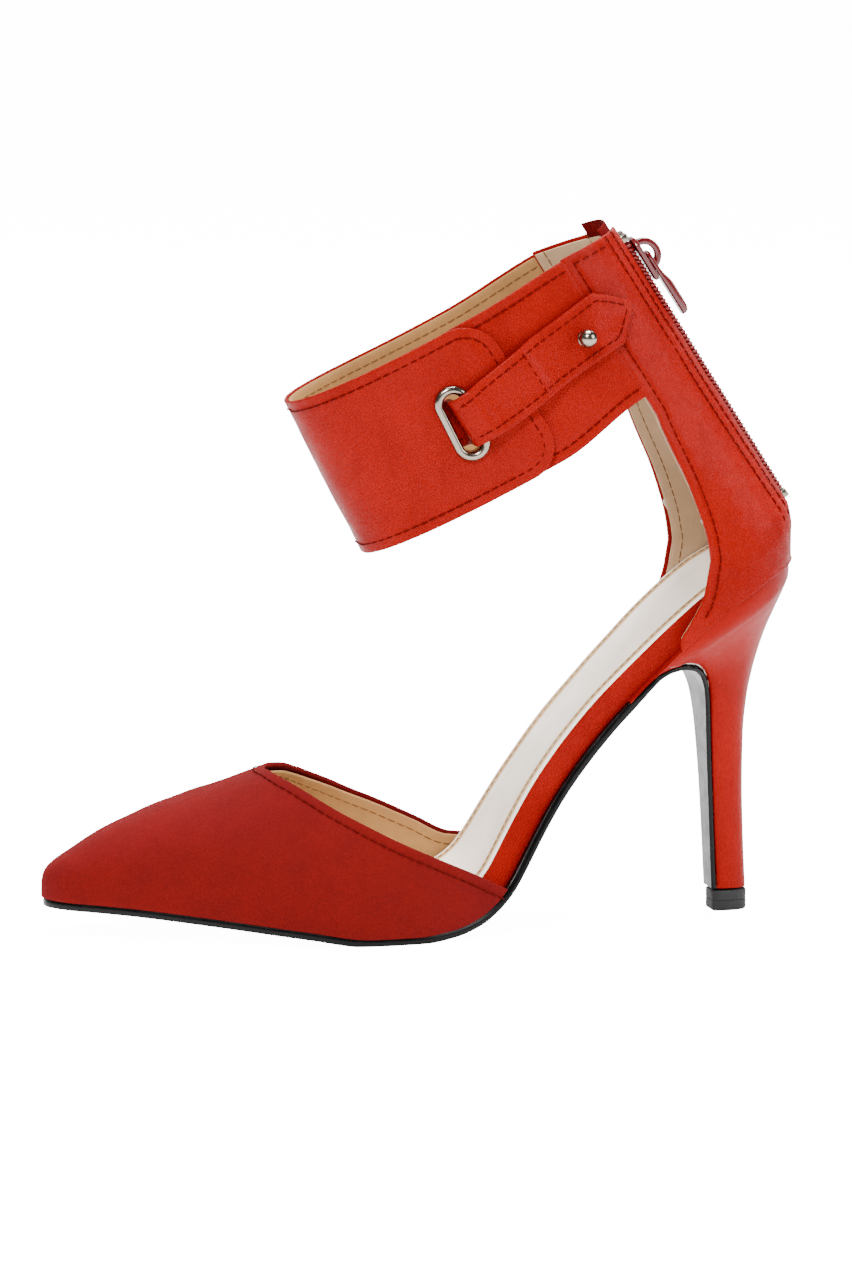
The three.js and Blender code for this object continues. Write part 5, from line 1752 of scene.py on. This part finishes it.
@dataclass
class Strap:
    """The pull strap that comes out through the eyelet and buttons over the stud."""

    place: Place
    thick: float = 1.8
    line: tuple[tuple[float, float, float, float], ...] = (
        (77, 85.2, -5.3, 7), (73.4, 85.2, -5.2, 7), (71.4, 85.2, -4.6, 7), (70.1, 85.2, -3.3, 7),
        (69.5, 85.2, -1.6, 7.1), (69.3, 85.2, 0.6, 7.1), (69, 85.2, 2.3, 7.1), (68.1, 85.3, 3.2, 7.1),
        (65, 85.5, 3.5, 7.3), (61, 85.9, 2.5, 7.7), (55, 86.7, 2, 7.9), (48, 87.8, 1.9, 8),
        (43, 88.7, 0.9, 8), (38, 89.3, 0.4, 8), (32, 89.9, 0.4, 8), (26, 90.4, 0.4, 8.1),
        (21, 90.7, 0.4, 8.2), (19, 90.7, 0.4, 8.2), (15, 90.8, 0.45, 4.4), (11.6, 90.8, 0.5, 1.0),
    )
    cross_seam: float = 11.4
    eyelet_at: tuple[float, float] = (70.5, 85.3)
    eyelet_rise: float = 6.25
    hole_radius: float = 3.9
    stud: tuple[float, float] = (28.4, 89.6)

    @staticmethod
    def hole_cutter(place: Place) -> bpy.types.Object:
        """A prism the size of the eyelet's barrel, to cut the leathers with."""
        radius, rise = Strap.hole_radius, Strap.eyelet_rise
        at, forward, up, out = LEG.frame(*Strap.eyelet_at, Side.OUTER)
        angle = np.linspace(0, 2 * np.pi, 48, endpoint=False)
        lift = np.where(np.sin(angle) >= 0, rise, -rise)
        ring = [radius * np.cos(angle), lift + radius * np.sin(angle)]
        flat = ring[0][:, None] * forward + ring[1][:, None] * up
        return loft("eyelet_cutter", [at + flat + out * depth for depth in (8, -8)], place)

    def at(self, order: Array) -> tuple[Array, ...]:
        """The strap's g, height, depth and half width at places along its line."""
        g, p, depth, _ = columns(self.line, order)
        return g, p, depth, np.interp(order, range(len(self.line)), [row[3] for row in self.line])

    def surface(self, order: Array, v: Array, lift: float) -> tuple[Array, Array]:
        """Points and normals above the strap's under face."""
        g, p, depth, half = self.at(order)
        return LEG.line(g, p + v * half, Side.OUTER, depth + lift)

    def build(self) -> None:
        """Builds and dresses the strap and its metal parts."""
        last = len(self.line) - 1
        order = np.concatenate([np.linspace(last, 16.2, 40), np.linspace(16, 0, 120)])
        across = np.linspace(-1, 1, 21)
        grid, _ = self.surface(np.repeat(order, 21).reshape(-1, 21), across, 0)
        seams = Seams()
        lines = []
        spots = order[::2]
        spots = spots[self.at(spots)[3] > 3.2]
        wide = self.at(spots)[3]
        for sign in (-1, 1):
            points, normals = self.surface(spots, sign * (1 - 2.0 / wide), self.thick + 0.02)
            lines.append(seams.add(points, normals))
        v = np.linspace(-0.72, 0.72, 24)
        points, normals = self.surface(np.full(24, self.cross_seam), v, self.thick + 0.02)
        lines.append(seams.add(points, normals))
        swell = together(*map(valley, lines), ripple(0.2, 11, 31), ripple(0.06, 4, 33))
        strap = Shell.grid(grid, (0, self.thick), True, roll=0.5, swell=swell)
        strap = strap.build("strap_leather", self.place)
        dress(strap, [Look.LEATHER, Look.EDGE], Slot.RED_LEATHER, Body.SHOE, "pull_strap")
        seams.sew("strap_stitches", self.place, Look.THREAD, Slot.RED_LEATHER, 2.7, 0.19)
        for node, name, width in (
            ("eyelet_washer", "nickel_washer", 0.25), ("stud_base", "nickel_stud_base", 0.2),
        ):
            dress(rounded_copy(node, name, width), [Look.NICKEL], Slot.NICKEL, Body.SHOE, node)
        dress(self.stud_ball(), [Look.NICKEL], Slot.NICKEL, Body.SHOE, "stud")
        dress(self.eyelet(), [Look.NICKEL], Slot.NICKEL, Body.SHOE, "eyelet")

    def eyelet(self) -> bpy.types.Object:
        """The long eyelet: a barrel whose domed flange is rolled over the leather."""
        at, forward, up, out = LEG.frame(*self.eyelet_at, Side.OUTER)
        profile = [
            (2.75, -1.9), (2.75, 1.8), (2.85, 2.3), (3.1, 2.68), (3.5, 2.92), (3.95, 3.0), (4.4, 2.92),
            (4.8, 2.7), (5.1, 2.35), (5.25, 1.95), (5.18, 1.78), (3.85, 1.72), (3.65, 1.5), (3.65, -1.9),
        ]
        points = []
        turn = np.concatenate([np.linspace(0, np.pi, 28), np.linspace(np.pi, 2 * np.pi, 28)])
        lift = np.repeat([1.0, -1.0], 28) * self.eyelet_rise
        for angle, rise in zip(turn, lift):
            reach = math.cos(angle) * forward + math.sin(angle) * up
            points += [at + up * rise + reach * r + out * z for r, z in profile]
        n, count = len(profile), len(turn)
        faces = [
            (k * n + j, k * n + (j + 1) % n, (k + 1) % count * n + (j + 1) % n, (k + 1) % count * n + j)
            for k in range(count) for j in range(n)
        ]
        return outward(make_object("nickel_eyelet", self.place(np.array(points)), faces, 60))

    def stud_ball(self) -> bpy.types.Object:
        """The ball stud, turned in one piece with its collar and post."""
        at, forward, up, out = LEG.frame(*self.stud, Side.OUTER)
        top = 0.4 + self.thick
        angle = np.linspace(-1.1, 1.5, 30)
        ball = [(2.6 * math.cos(a), top + 2.9 + 2.6 * math.sin(a)) for a in angle]
        foot = [(1.1, -0.6), (1.1, top + 0.25), (1.9, top + 0.3), (2.2, top + 0.45), (2.2, top + 0.75),
                (1.9, top + 0.9), (1.15, top + 0.95)]
        turn = np.linspace(0, 2 * np.pi, 48, endpoint=False)[:, None]
        rings = [at + out * z + r * (np.cos(turn) * forward + np.sin(turn) * up) for r, z in foot + ball]
        return loft("nickel_ball_stud", [ring[::-1] for ring in rings], self.place, 50)


# ---------------------------------------------------------------- zip


@dataclass
class Zip:
    """The back zip: two tapes, a nylon coil, its stops, the slider and its pull."""

    place: Place
    length: float = 91.42
    coil_low: float = 3.2
    coil_high: float = 88.8
    pitch: float = 1.35
    wire: float = 0.46
    coil_out: float = 0.3
    coil_off: float = 1.42
    pull_z: float = 82.62
    pull_under: float = 3.42
    bridge_reach: tuple[float, float] = (4.1, 4.2)
    bridge_half: tuple[float, float] = (1.0, 1.15)
    pull_rows: tuple[tuple[float, float, float], ...] = (
        (0.7, 0.45, 1.5), (0.6, 0.6, 1.9), (0.3, 0.68, 2.15), (-1.5, 0.7, 2.2), (-5.6, 0.72, 2.2),
        (-7.4, 0.85, 2.25), (-9.4, 1.15, 2.3), (-11, 1.25, 2.35), (-15.5, 1.25, 2.35), (-18.8, 1.2, 2.3),
        (-20.0, 1.0, 2.1), (-20.5, 0.7, 1.6),
    )
    pull_holes: tuple[tuple[float, float, float, float], ...] = (
        (-5.7, -0.75, 1.45, -9), (-17.6, -8.2, 1.0, 5.7),
    )
    tape: tuple[float, float] = (-2.02, -1.55)

    def matrix(self) -> Matrix:
        """The zip's own frame: x out of the shoe, y to the inner side and z up the chain."""
        up = LEG.up * math.cos(LEG.zip_tilt) + LEG.forward * math.sin(LEG.zip_tilt)
        out = np.cross([0, 1, 0], up)
        at = self.place(LEG.point(0.0, LEG.zip_low, 1))
        columns = zip(*(out.tolist(), (0.0, 1.0, 0.0), up.tolist(), at.tolist()))
        return Matrix([*columns, (0, 0, 0, 1)])

    def coil(self, side: Side) -> bpy.types.Object:
        """Half the chain, wound from one wire, whose loops lie between the other half's."""
        name = f"{side.name.lower()}_zip_coil"
        mesh = bpy.data.meshes.new(name)
        mesh.from_pydata([(0, 0, 0)], [], [])
        obj = add_object(name, mesh)
        height = self.coil_high - self.coil_low - self.pitch
        radius = 1.2 - self.wire
        rule = Coiling()
        values = {
            "Turns": height / self.pitch, "Width": radius * MM, "Height": height * MM, "Wire": self.wire * MM,
            "Nylon": Look.NYLON.value.material(),
        }
        rule.run(obj, rule.tree(), values)
        offset = self.pitch / 2 if side is Side.INNER else 0
        low = self.coil_low + self.pitch / 2 + offset
        shift = Vector((self.coil_out, side.value * self.coil_off, low)) * MM
        obj.data.transform(self.matrix() @ Matrix.Translation(shift) @ Matrix.Diagonal((1, 1.2, 1, 1)))
        return dress(obj, [Look.NYLON], Slot.ZIP_NYLON, Body.SHOE, f"zip_coil_{SIDE_WORDS[side]}")

    def cord(self, side: Side) -> bpy.types.Object:
        """The filler cord that a coil is wound on."""
        name = f"{side.name.lower()}_zip_cord"
        turn = np.linspace(0, 2 * np.pi, 16, endpoint=False)
        across = side.value * self.coil_off + 1.1 * np.sin(turn)
        ring = np.stack([self.coil_out + 0.86 * np.cos(turn), across, 0 * turn], -1)
        rings = [ring + [0, 0, z] for z in np.linspace(self.coil_low + 0.4, self.coil_high - 0.4, 60)]
        return dress(self.stand(name, rings), [Look.TAPE], Slot.ZIP_TAPE, Body.SHOE)

    def stand(self, name: str, rings: Sequence[Array]) -> bpy.types.Object:
        """A solid through rings given in the zip's own frame, in millimetres."""
        turn = np.array(self.matrix())
        return loft(name, rings, lambda points: points * MM @ turn[:3, :3].T + turn[:3, 3])

    def bridge(self) -> bpy.types.Object:
        """The arched bridge on the slider, which holds the pull."""
        out, up = self.bridge_reach
        turn = np.linspace(0, 2 * np.pi, 20, endpoint=False)
        deep = self.bridge_half[0] * squared(np.cos(turn), 0.5)
        wide = self.bridge_half[1] * squared(np.sin(turn), 0.5)
        rings = []
        for angle in np.linspace(-0.16, math.pi + 0.16, 40):
            x = 3.0 + (out + deep) * math.sin(angle)
            rings.append(vec(x, wide, self.pull_z + (up + deep) * math.cos(angle)))
        return outward(self.stand("lacquered_bridge", rings))

    def carve(self, piece: bpy.types.Object, name: str, rings: Sequence[Array]) -> None:
        """Cuts a solid through rings in the zip's own frame out of a piece."""
        cutter = outward(self.stand(name, rings))
        cut_out(piece, cutter)
        bpy.data.objects.remove(cutter)

    def pull_tab(self) -> bpy.types.Object:
        """The pull: a slotted eye round the bridge, and a thicker grip with a sunk panel."""
        rings = []
        turn = np.linspace(0, 2 * np.pi, 32, endpoint=False)
        for z, thick, half in self.pull_rows:
            x = self.pull_under + thick + thick * squared(np.cos(turn), 0.4)
            rings.append(vec(x, half * squared(np.sin(turn), 0.4), self.pull_z + z))
        tab = outward(self.stand("lacquered_pull", rings))
        turn = np.linspace(0, 2 * np.pi, 24, endpoint=False)
        for low, high, half, deep in self.pull_holes:
            y = half * squared(np.cos(turn), 0.5)
            z = self.pull_z + (low + high) / 2 + (high - low) / 2 * squared(np.sin(turn), 0.3)
            self.carve(tab, "pull_cutter", [vec(x, y, z) for x in (deep, 9)])
        return tab

    def slider_body(self) -> bpy.types.Object:
        """The slider's plates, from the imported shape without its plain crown."""
        body = rounded_copy("zip_slider", "lacquered_slider", 0.3)
        box = np.array([(3.15, -4, 0), (15.15, -4, 0), (15.15, 4, 0), (3.15, 4, 0)])
        self.carve(body, "crown_cutter", [box + [0, 0, self.pull_z + z] for z in (-9, 9)])
        return body

    def tape_strip(self, side: Side) -> bpy.types.Object:
        """One of the woven tapes behind the leather."""
        p = np.linspace(LEG.zip_low + 0.6, LEG.zip_high + 6.5, 100)
        wide = np.linspace(0.55, 10.5, 16)[:, None]
        full = np.broadcast_to(wide, (16, 100))
        g = LEG.back_at(full, np.broadcast_to(p, (16, 100)))
        grid = LEG.point(g, np.broadcast_to(p, (16, 100)), side.value)
        shell = Shell.grid(grid, self.tape, side is Side.OUTER, roll=0.1)
        piece = shell.build(f"{side.name.lower()}_zip_tape", self.place)
        return dress(piece, [Look.TAPE, Look.TAPE], Slot.ZIP_TAPE, Body.SHOE, f"zip_tape_{SIDE_WORDS[side]}")

    def build(self) -> None:
        """Builds and dresses the zip."""
        for side, word in SIDE_WORDS.items():
            self.coil(side)
            self.cord(side)
            self.tape_strip(side)
            node = f"zip_top_stop_{word}"
            stop = rounded_copy(node, f"nickel_stop_{word}", 0.5, 4)
            dress(stop, [Look.NICKEL], Slot.NICKEL, Body.SHOE, node)
        stop = rounded_copy("zip_bottom_stop", "nickel_bottom_stop", 0.5, 4)
        dress(stop, [Look.NICKEL], Slot.NICKEL, Body.SHOE, "zip_bottom_stop")
        dress(self.slider_body(), [Look.LACQUER], Slot.RED_LACQUER, Body.SLIDER, "zip_slider")
        dress(self.bridge(), [Look.LACQUER], Slot.RED_LACQUER, Body.SLIDER)
        dress(self.pull_tab(), [Look.LACQUER], Slot.RED_LACQUER, Body.PULL, "zip_pull")


# ---------------------------------------------------------------- hidden pieces and studio


@dataclass
class Hidden:
    """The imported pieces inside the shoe, which keep their shapes and get real finishes."""

    looks: dict[str, Look] = field(default_factory=lambda: {
        "forepart_filler": Look.FOAM, "steel_shank": Look.STEEL, "insole_board": Look.BOARD,
        "insole_cushion": Look.FOAM, "heel_block": Look.PLASTIC, "heel_dowel": Look.STEEL,
        "top_piece_pin": Look.STEEL, "heel_screw": Look.STEEL, "heel_nail_1": Look.STEEL,
        "heel_nail_2": Look.STEEL, "heel_nail_3": Look.STEEL, "heel_nail_4": Look.STEEL,
        "toe_puff": Look.STIFFENER, "heel_counter": Look.STIFFENER,
    })

    def build(self) -> None:
        """Gives each node its finish."""
        for node, look in self.looks.items():
            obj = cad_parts[node]
            obj.data.materials.clear()
            obj.data.materials.append(look.value.material())
            LOG.info("%s: %s", node, look.value.name)


@dataclass
class Studio:
    """A white sweep, soft lights and the camera."""

    target: tuple[float, float, float] = (0.00195, 0.0005, 0.0816)
    azimuth: float = math.radians(13.5)
    elevation: float = math.radians(8.5)
    distance: float = 2.5
    lens: float = 245.9
    bend: tuple[float, float] = (3.4, 0.8)
    glow: tuple[float, float] = (14.0, 0.35)
    air: float = 0.14
    lights: tuple[tuple[str, tuple[float, float, float], float, float], ...] = (
        ("key softbox", (-0.9, -1.5, 1.7), 0.6, 76), ("fill softbox", (1.5, -1.0, 0.9), 1.0, 30),
        ("top softbox", (0.1, 0.3, 1.9), 1.0, 96), ("back softbox", (0.8, 1.1, 1.2), 0.8, 12),
    )

    def camera(self) -> None:
        """Sets the camera on the outer side, a little towards the toe and above."""
        level = math.cos(self.elevation)
        back = Vector((
            -math.sin(self.azimuth) * level, -math.cos(self.azimuth) * level, math.sin(self.elevation)
        ))
        data = bpy.data.cameras.new("camera")
        data.lens = self.lens
        data.sensor_width = 36
        data.clip_end = 20
        camera = add_object("camera", data)
        camera.location = Vector(self.target) + back * self.distance
        camera.rotation_euler = (-back).to_track_quat("-Z", "Y").to_euler()
        bpy.context.scene.camera = camera

    def sweep(self) -> None:
        """A floor that curves up into a wall behind the shoe."""
        bend, radius = self.bend
        profile = [(-4.0, 0.0), (bend, 0.0)]
        for a in np.linspace(0.1, np.pi / 2, 14):
            profile.append((bend + radius * math.sin(a), radius - radius * math.cos(a)))
        profile.append((bend + radius, 6.0))
        points = [(x, y, z) for x in (-6.0, 6.0) for y, z in profile]
        n = len(profile)
        faces = [(k, k + n, k + n + 1, k + 1) for k in range(n - 1)]
        floor = make_object("studio_sweep", np.array(points), faces, 60)
        paper = bpy.data.materials.new("white paper")
        paper.use_nodes = True
        shader = paper.node_tree.nodes["Principled BSDF"]
        shader.inputs["Base Color"].default_value = (0.93, 0.93, 0.93, 1)
        shader.inputs["Roughness"].default_value = 0.9
        shader.inputs["Specular IOR Level"].default_value = 0.1
        shader.inputs["Emission Color"].default_value = (1, 1, 1, 1)
        graph = Graph(paper.node_tree)
        seen = graph.add("ShaderNodeLightPath").outputs["Is Camera Ray"]
        to_camera, to_shoe = self.glow
        glow = graph.math("ADD", graph.math("MULTIPLY", seen, to_camera), to_shoe)
        graph.tree.links.new(glow, shader.inputs["Emission Strength"])
        floor.data.materials.append(paper)

    def light(self, name: str, place: tuple[float, float, float], size: float, power: float) -> None:
        """Adds a square softbox that faces the shoe.

        Args:
            name: Its name.
            place: Where it stands, in metres.
            size: The length of its side, in metres.
            power: Its power, in watts.
        """
        data = bpy.data.lights.new(name, "AREA")
        data.shape = "SQUARE"
        data.size = size
        data.energy = power
        lamp = add_object(name, data)
        lamp.location = place
        lamp.rotation_euler = (Vector(self.target) - Vector(place)).to_track_quat("-Z", "Y").to_euler()

    def build(self) -> None:
        """Builds the studio."""
        self.camera()
        self.sweep()
        for name, place, size, power in self.lights:
            self.light(name, place, size, power)
        world = bpy.data.worlds.new("studio air")
        world.use_nodes = True
        air = world.node_tree.nodes["Background"]
        air.inputs["Color"].default_value = (1, 1, 1, 1)
        air.inputs["Strength"].default_value = self.air
        bpy.context.scene.world = world


def main() -> None:
    """Builds every sub-assembly in order."""
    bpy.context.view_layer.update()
    place = Place()
    Studio().build()
    Hidden().build()
    Bottom(place).build()
    Footbed(place).build()
    Forepart(place).build()
    Quarters(place).build()
    Cuff(place).build()
    Strap(place).build()
    Zip(place).build()


if __name__ == "__main__":
    main()
